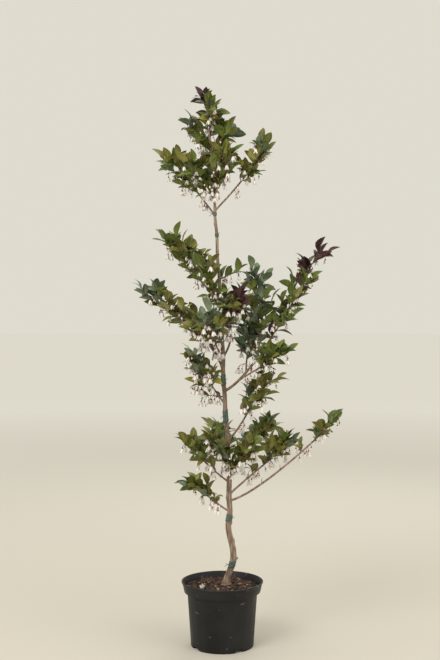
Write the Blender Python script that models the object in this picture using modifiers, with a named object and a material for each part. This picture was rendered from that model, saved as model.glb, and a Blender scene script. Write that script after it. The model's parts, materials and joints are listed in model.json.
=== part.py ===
"""A young flowering snowbell tree in a round nursery pot, in metres, +Z up.

The origin is the centre of the pot's flat underside. +X is to the right of the
tree's front view and -Y points at the viewer. Each limb grows from named sizes
in LIMBS: its bare stretch is a bough, and the rest is the stem of a mass of
foliage, from which twigs, leaves and blossom branch by a seeded rule.
"""
import math
import random
from collections import namedtuple

import bmesh
import bpy
from mathutils import Matrix, Vector
from mathutils.bvhtree import BVHTree
from mathutils.kdtree import KDTree

UP = Vector((0.0, 0.0, 1.0))
GAP = 0.0003                 # clear space between touching pieces
GOLDEN_TURN = math.radians(137.5)

# Pot
POT_HEIGHT = 0.220
RIM_RADIUS = 0.140
BAND_FOOT_RADIUS = 0.131
BAND_HEIGHT = 0.036
BODY_TOP_RADIUS = 0.120
BODY_FOOT_RADIUS = 0.1075
POT_WALL = 0.0024
POT_FLOOR = 0.0035
POT_EDGE = 0.0020            # rounding at the rim and the foot
BEAD_HEIGHT = 0.0050         # the thick edge at the top of the rim
POT_STEPS = 32
NOTCH_COUNT = 4
NOTCH_FIRST_AZIMUTH = 33.0   # degrees from +X
NOTCH_WIDTH = 0.030
NOTCH_HEIGHT = 0.009
NOTCH_DEPTH = 0.012

# Soil
SOIL_TOP = 0.200
SOIL_CHAMFER = 0.014         # clears the drain notches

# Trunk: height, x, y, diameter
TRUNK_STATIONS = (
    (0.200, 0.013, 0.018, 0.032),
    (0.222, 0.017, 0.016, 0.024),
    (0.273, 0.034, 0.010, 0.022),
    (0.325, 0.036, 0.006, 0.021),
    (0.405, 0.021, 0.004, 0.020),
    (0.460, 0.025, 0.003, 0.019),
    (0.565, 0.023, 0.000, 0.018),
    (0.702, 0.018, 0.002, 0.016),
    (0.874, 0.006, 0.004, 0.015),
    (1.080, -0.001, 0.000, 0.013),
    (1.286, -0.013, 0.003, 0.011),
    (1.458, -0.023, 0.000, 0.010),
    (1.647, -0.035, 0.003, 0.008),
    (1.784, -0.046, 0.000, 0.006),
    (1.850, -0.058, 0.001, 0.004),
)
TRUNK_RING_SPACING = 0.055
TRUNK_SIDES_RESOLUTION = 3   # ten sides
TRUNK_TWIST = 0.0012         # how far its axis wanders
TRUNK_TWIST_RATE = 46.0      # radians of wander for each metre
FLARE_LOBES = 3
FLARE_TURN = 0.6
FLARE_SHARE = 0.22
FLARE_HEIGHT = 0.025
FLARE_RING = 0.006           # height of the first ring above the cut
FLARE_RING_TAPER = 0.88
STUB_HEIGHT = 0.290
STUB_AZIMUTH = -20.0
STUB_RISE = 0.45
STUB_LENGTH = 0.018
STUB_RADIUS = 0.0050
STUB_TAPER = 0.8

# Limbs
BOUGH_SIDES_RESOLUTION = 1   # six sides
BOUGH_SPACING = 0.028        # between a bough's rings
COLLAR_SHARE = 0.45          # how much thicker a limb is where it leaves its parent
COLLAR_LENGTH = 0.012
STEM_SINK = 0.003            # how far a stem starts inside what it is then cut clear of
TIP_RADIUS = 0.0024
STEM_SEGMENTS = 4
SWAY = 0.035                 # sideways wander, as a share of reach
NEARLY_UPRIGHT = 0.05        # a direction with less level run than this counts as upright

# Foliage
FIRST_SEED = 100
AXIS_PIECES = 6              # points on each length of a stem's axis, to share out space by
LEAF_LENGTH = 0.066
LEAF_WIDTH = 0.031
LEAF_THICKNESS = 0.0018
LEAF_WIDEST = 0.46           # share of its length
LEAF_ARCH = 0.10
LEAF_SINK = 0.0008           # how far a leaf's root reaches past its twig's axis
LEAF_LIFT = 0.35             # how far leaves turn up
LEAF_ROLL = 1.1              # how far they turn about their own length, either way
LEAF_SPREADS = (0.7, 1.2)    # how far leaves stand off their twig, against how far they run on
LEAF_SIZES = (0.85, 1.12)
LEAF_PLACE = 0.9             # where in its share of a twig each leaf stands
END_SPREADS = (0.1, 0.4)     # the same for the leaf at a twig's end
SIDE_ANGLES = (0.2, 1.7)     # radians from straight above, on either side
TURN_SCATTER = 0.3
STEEP = 0.75                 # rise of a stem that leaves stand all round, not only above
TWIG_RADIUS = 0.0019
TWIG_TAPER = 0.9
TWIG_LIFT = 0.30
TWIG_AHEAD = 0.7             # how far twigs run on along their stem, against TWIG_SPREADS
TWIG_SPREADS = (0.8, 1.1)
TWIG_SIZES = (0.8, 1.2)
TWIG_FIRST = 0.08            # share of the stem at which twigs begin
TWIG_SPAN = 0.80             # share of the stem that they stand on
TWIG_PLACES = (0.2, 0.8)     # where in its share of that each twig stands
TWIG_LONGEST = 1.15          # at the foot of the stem
TWIG_SHORTENS = 0.4          # from the foot of the stem to its tip
PEDICEL_LENGTH = 0.026
PEDICEL_RADIUS = 0.0009
BELL_LENGTH = 0.017
BELL_TOP_RADIUS = 0.0032
BELL_MOUTH_RADIUS = 0.0085
BELL_SIDES = 5
BELL_DROOP = 1.5             # how far a bell turns down from its stalk's direction
FLOWER_PLACES = (0.15, 0.90)
FLOWER_ASIDE = (0.2, 1.0)
FLOWER_AHEAD = (-0.2, 0.6)
LEAVES_ON_TWIG = 3
TRIES = 6                    # for each leaf and flower to find its room
SMALLER_EACH_TRY = 0.07
CLEARANCE = 0.0012           # between a mass and everything it isn't fused to
SPACE_MARGIN = 0.0015        # each mass ends this far short of halfway to the next

Limb = namedtuple("Limb", "name parent foot azimuth reach rise bend bare girth spread twigs leaves blossom")

# name, parent, foot (height on the trunk, or share of the parent bough), azimuth in degrees,
# reach outwards, rise, bend (under 1 starts steep, over 1 ends steep), bare share of its length,
# radius at its foot, length of its side twigs, then how many side twigs, leaves on its own stem
# and open flowers
LIMBS = tuple(Limb(*row) for row in (
    ("low_left", "trunk", 0.455, 165, 0.135, 0.086, 1.00, 0.45, 0.0032, 0.026, 2, 4, 1),
    ("left_lower", "trunk", 0.558, 200, 0.155, 0.135, 1.10, 0.50, 0.0032, 0.028, 2, 4, 2),
    ("low_right", "trunk", 0.494, -12, 0.365, 0.285, 1.30, 0.78, 0.0040, 0.026, 1, 4, 1),
    ("right_lower", "trunk", 0.512, 10, 0.218, 0.165, 0.85, 0.58, 0.0036, 0.032, 3, 6, 3),
    ("right_mid", "trunk", 0.700, -25, 0.146, 0.215, 1.15, 0.42, 0.0036, 0.045, 4, 6, 3),
    ("right_low_inner", "trunk", 0.600, 48, 0.245, 0.125, 0.75, 0.50, 0.0032, 0.030, 3, 6, 2),
    ("right_high", "trunk", 0.872, -8, 0.322, 0.475, 1.40, 0.46, 0.0050, 0.040, 5, 8, 3),
    ("right_fork", "right_high", 0.20, -38, 0.190, 0.108, 0.95, 0.55, 0.0032, 0.035, 3, 6, 2),
    ("right_upright", "right_high", 0.82, 100, 0.045, 0.285, 0.90, 0.12, 0.0034, 0.045, 5, 9, 2),
    ("right_inner", "right_high", 0.52, 75, 0.050, 0.150, 1.00, 0.20, 0.0030, 0.040, 3, 5, 2),
    ("left_long", "trunk", 0.918, 172, 0.282, 0.285, 0.55, 0.50, 0.0044, 0.040, 5, 6, 3),
    ("left_inner", "left_long", 0.50, -125, 0.125, 0.105, 0.90, 0.20, 0.0030, 0.038, 4, 6, 2),
    ("left_flowered", "trunk", 0.825, 198, 0.120, 0.165, 1.00, 0.25, 0.0034, 0.035, 3, 5, 7),
    ("left_twig", "trunk", 0.850, 150, 0.085, 0.005, 1.00, 0.00, 0.0024, 0.000, 0, 2, 1),
    ("left_upper", "trunk", 1.178, 165, 0.195, 0.205, 1.00, 0.42, 0.0038, 0.040, 4, 7, 2),
    ("left_upper_inner", "trunk", 1.140, -140, 0.085, 0.160, 1.00, 0.00, 0.0028, 0.035, 3, 6, 2),
    ("right_twig", "trunk", 1.255, 10, 0.070, 0.030, 1.00, 0.00, 0.0024, 0.000, 0, 3, 1),
    ("front_mid", "trunk", 1.040, -72, 0.150, 0.135, 0.90, 0.25, 0.0032, 0.035, 3, 5, 2),
    ("front_left_mid", "trunk", 0.985, -108, 0.200, 0.120, 0.85, 0.35, 0.0034, 0.035, 3, 5, 2),
    ("low_centre_left", "trunk", 0.600, -117, 0.140, 0.115, 1.00, 0.00, 0.0030, 0.030, 3, 6, 2),
    ("low_centre_right", "trunk", 0.590, -60, 0.150, 0.100, 1.00, 0.00, 0.0030, 0.030, 3, 6, 3),
    ("back_low", "trunk", 0.545, 98, 0.260, 0.155, 0.90, 0.50, 0.0036, 0.040, 3, 6, 2),
    ("back_mid", "trunk", 0.985, 78, 0.280, 0.190, 0.90, 0.50, 0.0038, 0.040, 3, 6, 2),
    ("back_high", "trunk", 1.160, 122, 0.200, 0.170, 1.00, 0.40, 0.0034, 0.035, 4, 6, 2),
    ("top_right", "trunk", 1.490, -15, 0.190, 0.200, 1.00, 0.45, 0.0034, 0.035, 3, 6, 2),
    ("top_front", "trunk", 1.545, -70, 0.120, 0.115, 1.00, 0.00, 0.0026, 0.030, 3, 5, 2),
    ("top_left", "trunk", 1.474, 170, 0.150, 0.195, 1.00, 0.35, 0.0034, 0.040, 4, 5, 3),
    ("top_left_front", "trunk", 1.520, -135, 0.100, 0.125, 1.00, 0.00, 0.0026, 0.030, 3, 5, 2),
    ("top_back", "trunk", 1.510, 85, 0.155, 0.175, 1.00, 0.35, 0.0032, 0.035, 3, 6, 2),
    ("leader_left", "trunk", 1.690, 165, 0.085, 0.095, 1.00, 0.00, 0.0024, 0.025, 2, 5, 2),
    ("leader_right", "trunk", 1.680, -20, 0.065, 0.085, 1.00, 0.00, 0.0024, 0.025, 2, 5, 1),
    ("leader_back", "trunk", 1.745, 80, 0.055, 0.080, 1.00, 0.00, 0.0024, 0.020, 2, 5, 1),
    ("leader_front", "trunk", 1.775, -75, 0.045, 0.060, 1.00, 0.00, 0.0024, 0.020, 1, 5, 1),
    ("leader_tip", "trunk", 1.850, 160, 0.010, 0.022, 1.00, 0.00, 0.0024, 0.000, 0, 7, 0),
))


def clear_scene():
    for obj in list(bpy.data.objects):
        bpy.data.objects.remove(obj, do_unlink=True)


def new_collection(name):
    collection = bpy.data.collections.new(name)
    bpy.context.scene.collection.children.link(collection)
    return collection


def material(name, colour, roughness):
    made = bpy.data.materials.new(name)
    made.use_nodes = True
    shader = made.node_tree.nodes["Principled BSDF"]
    shader.inputs["Base Color"].default_value = (*colour, 1.0)
    shader.inputs["Roughness"].default_value = roughness
    made.diffuse_color = (*colour, 1.0)
    return made


def mesh_object(name, mesh, collection):
    obj = bpy.data.objects.new(name, mesh)
    collection.objects.link(obj)
    return obj


def evaluated_mesh(obj):
    graph = bpy.context.evaluated_depsgraph_get()
    return bpy.data.meshes.new_from_object(obj.evaluated_get(graph))


def remove_object(obj):
    bpy.data.objects.remove(obj, do_unlink=True)


def apply_modifiers(obj):
    """Keep what the object's modifiers make, and take them off it."""
    mesh = evaluated_mesh(obj)
    obj.modifiers.clear()
    obj.data = mesh
    return obj


def boolean(obj, operation, other=None, collection=None):
    step = obj.modifiers.new(operation.lower(), "BOOLEAN")
    step.operation = operation
    step.solver = "EXACT"
    if collection is None:
        step.object = other
    else:
        step.operand_type = "COLLECTION"
        step.collection = collection
    return apply_modifiers(obj)


def largest_island(obj):
    """Drop loose scraps, and fill hollows that joining has sealed."""
    shape = bmesh.new()
    shape.from_mesh(obj.data)
    left = set(shape.faces)
    islands = []
    while left:
        island = [left.pop()]
        for face in island:
            for edge in face.edges:
                for near in edge.link_faces:
                    if near in left:
                        left.remove(near)
                        island.append(near)
        islands.append(island)
    islands.sort(key=lambda faces: sum(face.calc_area() for face in faces))
    spare = [face for island in islands[:-1] for face in island]
    bmesh.ops.delete(shape, geom=spare, context="FACES")
    shape.to_mesh(obj.data)
    shape.free()


def turned(name, profile, steps, collection):
    """A closed solid from a profile that runs up its inner side and down its outer side."""
    mesh = bpy.data.meshes.new(name)
    edges = [(i, i + 1) for i in range(len(profile) - 1)]
    mesh.from_pydata([(radius, 0.0, height) for radius, height in profile], edges, [])
    obj = mesh_object(name, mesh, collection)
    screw = obj.modifiers.new("turn", "SCREW")
    screw.axis = "Z"
    screw.steps = steps
    screw.render_steps = steps
    screw.use_merge_vertices = True
    screw.merge_threshold = 0.0001
    return obj


def smooth_path(stations, spacing):
    """Evenly spaced rows on a smooth curve through the given rows of numbers."""
    rows = [Vector(row) for row in stations]
    rows = [rows[0]] + rows + [rows[-1]]
    path = []
    for before, start, end, after in zip(rows, rows[1:], rows[2:], rows[3:]):
        count = max(1, round(abs(end[0] - start[0]) / spacing))
        for step in range(count):
            t = step / count
            path.append(0.5 * (2 * start + (end - before) * t
                               + (2 * before - 5 * start + 4 * end - after) * t ** 2
                               + (3 * start - before - 3 * end + after) * t ** 3))
    path.append(rows[-1])
    return path


def tube(name, points, radii, collection, resolution=BOUGH_SIDES_RESOLUTION, section=None):
    """A tapering round tube, or one with the given section, as a closed mesh."""
    curve = bpy.data.curves.new(name, "CURVE")
    curve.dimensions = "3D"
    if section is None:
        curve.bevel_depth = 1.0
        curve.bevel_resolution = resolution
    else:
        curve.bevel_mode = "OBJECT"
        curve.bevel_object = section
    curve.use_fill_caps = True
    spline = curve.splines.new("POLY")
    spline.points.add(len(points) - 1)
    for knot, point, radius in zip(spline.points, points, radii):
        knot.co = (*point, 1.0)
        knot.radius = radius
    guide = bpy.data.objects.new(name + "_guide", curve)
    collection.objects.link(guide)
    mesh = evaluated_mesh(guide)
    remove_object(guide)
    shape = bmesh.new()
    shape.from_mesh(mesh)
    bmesh.ops.remove_doubles(shape, verts=shape.verts, dist=0.00001)
    bmesh.ops.recalc_face_normals(shape, faces=shape.faces)
    shape.to_mesh(mesh)
    shape.free()
    mesh.name = name
    return mesh_object(name, mesh, collection)


def triangle_section(collection):
    """The three-sided section that every twig has."""
    curve = bpy.data.curves.new("twig_section", "CURVE")
    curve.dimensions = "2D"
    spline = curve.splines.new("POLY")
    spline.points.add(2)
    for index, knot in enumerate(spline.points):
        angle = math.tau * index / 3
        knot.co = (math.cos(angle), math.sin(angle), 0.0, 1.0)
    spline.use_cyclic_u = True
    section = bpy.data.objects.new("twig_section", curve)
    section.hide_render = True
    section.display_type = "WIRE"
    collection.objects.link(section)
    return section


def wall_radius(height):
    """The pot's outer radius on its body, below the band."""
    share = height / (POT_HEIGHT - BAND_HEIGHT)
    return BODY_FOOT_RADIUS + (BODY_TOP_RADIUS - BODY_FOOT_RADIUS) * share


def band_radius(height):
    """The pot's outer radius on its band."""
    share = (height - POT_HEIGHT + BAND_HEIGHT) / BAND_HEIGHT
    return BAND_FOOT_RADIUS + (RIM_RADIUS - POT_EDGE - BAND_FOOT_RADIUS) * share


def build_pot(parts, cutters):
    band_foot = POT_HEIGHT - BAND_HEIGHT
    bead_foot = POT_HEIGHT - BEAD_HEIGHT
    profile = [
        (0.0, POT_FLOOR),
        (wall_radius(POT_FLOOR) - POT_WALL, POT_FLOOR),
        (BODY_TOP_RADIUS - POT_WALL, band_foot),
        (BAND_FOOT_RADIUS - POT_WALL, band_foot + POT_WALL),
        (band_radius(POT_HEIGHT) - POT_WALL, POT_HEIGHT),
        (RIM_RADIUS - POT_EDGE / 2, POT_HEIGHT),
        (RIM_RADIUS, POT_HEIGHT - POT_EDGE / 2),
        (RIM_RADIUS, bead_foot + POT_EDGE / 2),
        (band_radius(bead_foot), bead_foot),
        (BAND_FOOT_RADIUS, band_foot + POT_EDGE),
        (BAND_FOOT_RADIUS - POT_EDGE, band_foot),
        (BODY_TOP_RADIUS, band_foot - POT_WALL),
        (wall_radius(POT_EDGE), POT_EDGE),
        (BODY_FOOT_RADIUS - POT_EDGE, 0.0),
        (0.0, 0.0),
    ]
    pot = turned("pot", profile, POT_STEPS, parts)
    for index in range(NOTCH_COUNT):
        azimuth = math.radians(NOTCH_FIRST_AZIMUTH + 360 * index / NOTCH_COUNT)
        out = Vector((math.cos(azimuth), math.sin(azimuth), 0.0))
        bpy.ops.mesh.primitive_cube_add(size=1.0, location=out * (BODY_FOOT_RADIUS - NOTCH_DEPTH / 4),
                                        rotation=(0.0, 0.0, azimuth))
        cutter = bpy.context.object
        cutter.name = f"notch_{index + 1}"
        cutter.scale = (NOTCH_DEPTH, NOTCH_WIDTH, 2 * NOTCH_HEIGHT)
        cutter.hide_render = True
        cutter.display_type = "WIRE"
        for owner in list(cutter.users_collection):
            owner.objects.unlink(cutter)
        cutters.objects.link(cutter)
    step = pot.modifiers.new("notches", "BOOLEAN")
    step.operand_type = "COLLECTION"
    step.collection = cutters
    step.solver = "EXACT"
    return pot


def build_soil(parts):
    band_foot = POT_HEIGHT - BAND_HEIGHT
    floor = POT_FLOOR + GAP
    inset = POT_WALL + GAP
    profile = [
        (0.0, SOIL_TOP),
        (band_radius(SOIL_TOP) - inset, SOIL_TOP),
        (BAND_FOOT_RADIUS - inset, band_foot + POT_WALL + GAP),
        (BODY_TOP_RADIUS - inset, band_foot + GAP),
        (wall_radius(floor + SOIL_CHAMFER) - inset, floor + SOIL_CHAMFER),
        (wall_radius(floor) - inset - SOIL_CHAMFER, floor),
        (0.0, floor),
    ]
    return turned("soil", profile, POT_STEPS, parts)


def trunk_rings():
    """The trunk's axis points and radii, from the cut at soil level to its tip."""
    rows = smooth_path(TRUNK_STATIONS, TRUNK_RING_SPACING)
    points = []
    radii = []
    for row in rows:
        height = row[0]
        wander = TRUNK_TWIST * math.sin(height * TRUNK_TWIST_RATE)
        points.append(Vector((row[1] + wander, row[2] - wander, height)))
        radii.append(row[3] / 2)
    points[0].z += GAP
    points.insert(1, points[0] + UP * FLARE_RING)
    radii.insert(1, radii[0] * FLARE_RING_TAPER)
    return points, radii


def point_at_height(points, radii, height):
    """Where a path and its radius are at a height."""
    for index in range(len(points) - 1):
        low, high = points[index], points[index + 1]
        if low.z <= height <= high.z:
            share = (height - low.z) / (high.z - low.z)
            return low.lerp(high, share), radii[index] * (1 - share) + radii[index + 1] * share
    return points[-1].copy(), radii[-1]


def flare_root(obj, centre):
    """Push the trunk's foot out into a few root lobes."""
    for vertex in obj.data.vertices:
        height = vertex.co.z - SOIL_TOP
        fade = max(0.0, 1.0 - height / FLARE_HEIGHT) ** 2
        away = vertex.co - centre
        away.z = 0.0
        lobes = 1.0 + math.cos(FLARE_LOBES * math.atan2(away.y, away.x) + FLARE_TURN)
        vertex.co += away * (FLARE_SHARE * lobes * fade)


def build_trunk(parts):
    points, radii = trunk_rings()
    trunk = tube("trunk", points, radii, parts, TRUNK_SIDES_RESOLUTION)
    flare_root(trunk, points[0])
    foot = point_at_height(points, radii, STUB_HEIGHT)[0]
    azimuth = math.radians(STUB_AZIMUTH)
    out = Vector((math.cos(azimuth), math.sin(azimuth), STUB_RISE)).normalized()
    stub = tube("stub", [foot, foot + out * STUB_LENGTH], [STUB_RADIUS, STUB_RADIUS * STUB_TAPER], parts)
    boolean(trunk, "UNION", other=stub)
    remove_object(stub)
    return trunk


def limb_point(limb, foot, share):
    """A point on a limb's axis, at a share of its way from foot to tip."""
    azimuth = math.radians(limb.azimuth)
    out = Vector((math.cos(azimuth), math.sin(azimuth), 0.0))
    aside = UP.cross(out)
    level = share if limb.bend >= 1 else share ** (1 / limb.bend)
    climb = share ** limb.bend if limb.bend >= 1 else share
    sway = SWAY * limb.reach * math.sin(math.tau * share) * (1 if limb.azimuth % 2 else -1)
    return foot + out * (limb.reach * level) + UP * (limb.rise * climb) + aside * sway


def limb_radius(limb, share, distance):
    """A limb's radius: an even taper, with a collar near its foot."""
    collar = COLLAR_SHARE * max(0.0, 1.0 - distance / COLLAR_LENGTH)
    return (limb.girth + (TIP_RADIUS - limb.girth) * share) * (1.0 + collar)


def limb_stretch(limb, foot, start, end, segments):
    """Points and radii along a stretch of a limb."""
    points = [limb_point(limb, foot, start + (end - start) * i / segments) for i in range(segments + 1)]
    radii = []
    for index, point in enumerate(points):
        share = start + (end - start) * index / segments
        radii.append(limb_radius(limb, share, (point - foot).length))
    return points, radii


def turn_about(direction, angle):
    """A unit vector square to a direction, turned round it by an angle from the most upright one."""
    side = direction.cross(UP)
    if side.length < NEARLY_UPRIGHT:
        side = Vector((1.0, 0.0, 0.0))
    side.normalize()
    over = side.cross(direction).normalized()
    return over * math.cos(angle) + side * math.sin(angle)


def placed(shape, place):
    """A closed shape's corners and faces, moved to a place."""
    bmesh.ops.transform(shape, matrix=place, verts=shape.verts)
    bmesh.ops.recalc_face_normals(shape, faces=shape.faces)
    shape.verts.index_update()
    corners = [vertex.co.copy() for vertex in shape.verts]
    faces = [[vertex.index for vertex in face.verts] for face in shape.faces]
    shape.free()
    return corners, faces


def axes_matrix(root, direction, normal):
    """A frame at root whose Z runs along direction and whose Y is as near normal as can be."""
    side = normal.cross(direction).normalized()
    over = direction.cross(side).normalized()
    frame = Matrix((side, over, direction)).transposed().to_4x4()
    frame.translation = root
    return frame


def leaf_shape(root, direction, normal, length):
    """A pointed, arched blade of eight faces."""
    shape = bmesh.new()
    bmesh.ops.create_uvsphere(shape, u_segments=4, v_segments=2, radius=1.0)
    width = LEAF_WIDTH * length / LEAF_LENGTH
    for vertex in shape.verts:
        x, y, z = vertex.co
        along = (z + 1) / 2 if abs(z) > 0.5 else LEAF_WIDEST
        lift = LEAF_ARCH * length if abs(z) <= 0.5 else 0.0
        vertex.co = (x * width / 2, y * LEAF_THICKNESS / 2 + lift, along * length)
    return placed(shape, axes_matrix(root - direction * LEAF_SINK, direction, normal))


def cone_shape(start, end, radius, end_radius, sides):
    """A closed tapering prism between two points."""
    shape = bmesh.new()
    reach = end - start
    bmesh.ops.create_cone(shape, cap_ends=True, segments=sides, radius1=radius, radius2=end_radius,
                          depth=reach.length)
    direction = reach.normalized()
    return placed(shape, axes_matrix((start + end) / 2, direction, turn_about(direction, 0.0)))


def flower_shapes(root, direction):
    """A hanging stalk and the bell at its end."""
    bend = root + direction * PEDICEL_LENGTH
    stalk = cone_shape(root - direction * PEDICEL_RADIUS, bend, PEDICEL_RADIUS, PEDICEL_RADIUS, 3)
    lean = (direction - UP * BELL_DROOP).normalized()
    top = bend - direction * BELL_TOP_RADIUS
    bell = cone_shape(top, top + lean * BELL_LENGTH, BELL_TOP_RADIUS, BELL_MOUTH_RADIUS, BELL_SIDES)
    return stalk, bell


class Space:
    """The space that one mass may fill."""

    def __init__(self, own_axis, other_axes, solids):
        self.own = self.tree_of(own_axis)
        self.others = self.tree_of([point for axis in other_axes for point in axis])
        self.solids = solids
        self.kept = []

    @staticmethod
    def tree_of(points):
        tree = KDTree(len(points))
        for index, point in enumerate(points):
            tree.insert(point, index)
        tree.balance()
        return tree

    def holds(self, corner):
        return self.own.find(corner)[2] + 2 * SPACE_MARGIN < self.others.find(corner)[2]

    def takes(self, shape, mates=True):
        """Whether a shape stays in this space, clear of the limbs and of its mates."""
        corners, faces = shape
        middle = sum(corners, Vector()) / len(corners)
        if not all(self.holds(corner) for corner in corners + [middle]):
            return False
        tree = BVHTree.FromPolygons(corners, faces)
        for solid in self.solids:
            if tree.overlap(solid):
                return False
            if any(solid.find_nearest(corner, CLEARANCE)[0] is not None for corner in corners):
                return False
        return not (mates and any(tree.overlap(mate) for mate in self.kept))

    def keep(self, shape):
        self.kept.append(BVHTree.FromPolygons(*shape))


def stem_points(stem, share):
    """A point and a direction on a stem."""
    place = min(share, 0.999) * (len(stem) - 1)
    index = int(place)
    start, end = stem[index], stem[index + 1]
    return start.lerp(end, place - index), (end - start).normalized()


def side_angle(ahead, number, turn, rng):
    """Where the next twig or leaf stands round a stem: all round a steep one, else to either side."""
    if ahead.z > STEEP:
        return turn + GOLDEN_TURN * number + rng.uniform(-TURN_SCATTER, TURN_SCATTER)
    return rng.uniform(*SIDE_ANGLES) * (1 if number % 2 else -1)


def grow_twig(limb, stem, number, turn, space, rng):
    """A straight side twig: its shape, and the line that its leaves stand on."""
    share = TWIG_FIRST + TWIG_SPAN * (number + rng.uniform(*TWIG_PLACES)) / limb.twigs
    root, ahead = stem_points(stem, share)
    for _ in range(TRIES):
        out = turn_about(ahead, side_angle(ahead, number, turn, rng))
        direction = (ahead * TWIG_AHEAD + out * rng.uniform(*TWIG_SPREADS) + UP * TWIG_LIFT).normalized()
        length = limb.spread * rng.uniform(*TWIG_SIZES) * (TWIG_LONGEST - TWIG_SHORTENS * share)
        tip = root + direction * length
        twig = cone_shape(root - direction * LEAF_SINK, tip, TWIG_RADIUS, TWIG_RADIUS * TWIG_TAPER, 3)
        if space.takes(twig, mates=False):
            return twig, [root, tip]
    return None


def grow_leaf(line, number, count, turn, space, rng):
    """One of the leaves along a stem or twig, the last at its tip, where there is room for it."""
    last = number == count - 1
    root, ahead = stem_points(line, 1.0 if last else (number + LEAF_PLACE) / count)
    for attempt in range(TRIES):
        out = turn_about(ahead, side_angle(ahead, number, turn, rng))
        spread = rng.uniform(*(END_SPREADS if last else LEAF_SPREADS))
        direction = (ahead + out * spread + UP * rng.uniform(0.0, 2 * LEAF_LIFT)).normalized()
        normal = turn_about(direction, rng.uniform(-LEAF_ROLL, LEAF_ROLL))
        length = LEAF_LENGTH * rng.uniform(*LEAF_SIZES) * (1 - attempt * SMALLER_EACH_TRY)
        leaf = leaf_shape(root, direction, normal, length)
        if space.takes(leaf):
            return leaf
    return None


def grow_flower(line, number, space, rng):
    """A flower hanging from a stem or twig, where there is room for it."""
    for _ in range(TRIES):
        root, ahead = stem_points(line, rng.uniform(*FLOWER_PLACES))
        aside = ahead.cross(UP).normalized() * (1 if number % 2 else -1)
        hang = (aside * rng.uniform(*FLOWER_ASIDE) + ahead * rng.uniform(*FLOWER_AHEAD) - UP).normalized()
        flower = flower_shapes(root, hang)
        if all(space.takes(shape) for shape in flower):
            return flower
    return None


def grow_mass(limb, stem, space, rng):
    """The shapes of a mass: side twigs, then leaves, then blossom, each kept if its space takes it."""
    turn = rng.uniform(0.0, math.tau)
    twigs = [grow_twig(limb, stem, number, turn, space, rng) for number in range(limb.twigs)]
    twigs = [twig for twig in twigs if twig]
    shapes = [shape for shape, _ in twigs]
    lines = [(stem, limb.leaves)] + [(line, LEAVES_ON_TWIG) for _, line in twigs]
    for line, count in lines:
        for number in range(count):
            leaf = grow_leaf(line, number, count, turn, space, rng)
            if leaf:
                space.keep(leaf)
                shapes.append(leaf)
    for number in range(limb.blossom):
        flower = grow_flower(lines[number % len(lines)][0], number, space, rng)
        for shape in flower or ():
            space.keep(shape)
            shapes.append(shape)
    return shapes


def solid_of(obj):
    """A search tree of an object's surface."""
    shape = bmesh.new()
    shape.from_mesh(obj.data)
    tree = BVHTree.FromBMesh(shape)
    shape.free()
    return tree


def sleeve_of(name, points, radii, guides, resolution=BOUGH_SIDES_RESOLUTION):
    """A cutter that follows a limb and stands proud of its side and its tip by the gap."""
    ahead = (points[-1] - points[-2]).normalized()
    longer = points[:-1] + [points[-1] + ahead * GAP]
    return tube("sleeve_" + name, longer, [radius + GAP for radius in radii], guides, resolution)


def foot_of(limb, feet, trunk):
    """Where a limb leaves its parent's axis."""
    if limb.parent == "trunk":
        return point_at_height(*trunk, limb.foot)[0]
    parent = next(row for row in LIMBS if row.name == limb.parent)
    return limb_point(parent, feet[limb.parent], limb.foot * parent.bare)


def cut_clear(obj, sleeve):
    boolean(obj, "DIFFERENCE", other=sleeve)
    largest_island(obj)


def build_limbs(parts, guides, section):
    """Every bough, and the stem of every mass, each cut clear of what it grows from."""
    trunk = trunk_rings()
    sleeves = {"trunk": sleeve_of("trunk", *trunk, guides, TRUNK_SIDES_RESOLUTION)}
    feet = {}
    boughs = []
    stems = {}
    for limb in LIMBS:
        foot = foot_of(limb, feet, trunk)
        feet[limb.name] = foot
        carrier = limb.parent
        if limb.bare > 0:
            length = (limb_point(limb, foot, limb.bare) - foot).length
            points, radii = limb_stretch(limb, foot, 0.0, limb.bare, max(2, round(length / BOUGH_SPACING)))
            bough = tube("bough_" + limb.name, points, radii, parts)
            cut_clear(bough, sleeves[limb.parent])
            boughs.append(bough)
            carrier = limb.name
            sleeves[carrier] = sleeve_of(carrier, points, radii, guides)
        line, radii = limb_stretch(limb, foot, limb.bare, 1.0, STEM_SEGMENTS)
        sunk = [line[0] - (line[1] - line[0]).normalized() * STEM_SINK] + line[1:]
        radii[0] *= 1 - COLLAR_SHARE / 2
        stem = tube("foliage_" + limb.name, sunk, radii, parts, section=section)
        cut_clear(stem, sleeves[carrier])
        stems[limb.name] = (stem, line)
    for sleeve in sleeves.values():
        remove_object(sleeve)
    return boughs, stems


def build_masses(stems, solids, helpers):
    """Grow each mass on its stem and join it to one solid."""
    for number, limb in enumerate(LIMBS):
        stem, points = stems[limb.name]
        axis = dense(points)
        others = [dense(line) for name, (_, line) in stems.items() if name != limb.name]
        space = Space(axis, others, solids)
        rng = random.Random(FIRST_SEED + number)
        for index, shape in enumerate(grow_mass(limb, points, space, rng)):
            mesh = bpy.data.meshes.new(f"{limb.name}_{index}")
            mesh.from_pydata(shape[0], [], shape[1])
            mesh_object(mesh.name, mesh, helpers)
        boolean(stem, "UNION", collection=helpers)
        largest_island(stem)
        for helper in list(helpers.objects):
            remove_object(helper)


def dense(points):
    """A path's points with more between them."""
    line = []
    for start, end in zip(points, points[1:]):
        line += [start.lerp(end, piece / AXIS_PIECES) for piece in range(AXIS_PIECES)]
    return line + [points[-1]]


def dress(obj, made, smooth=False):
    obj.data.materials.clear()
    obj.data.materials.append(made)
    if smooth:
        obj.data.shade_smooth()


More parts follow.
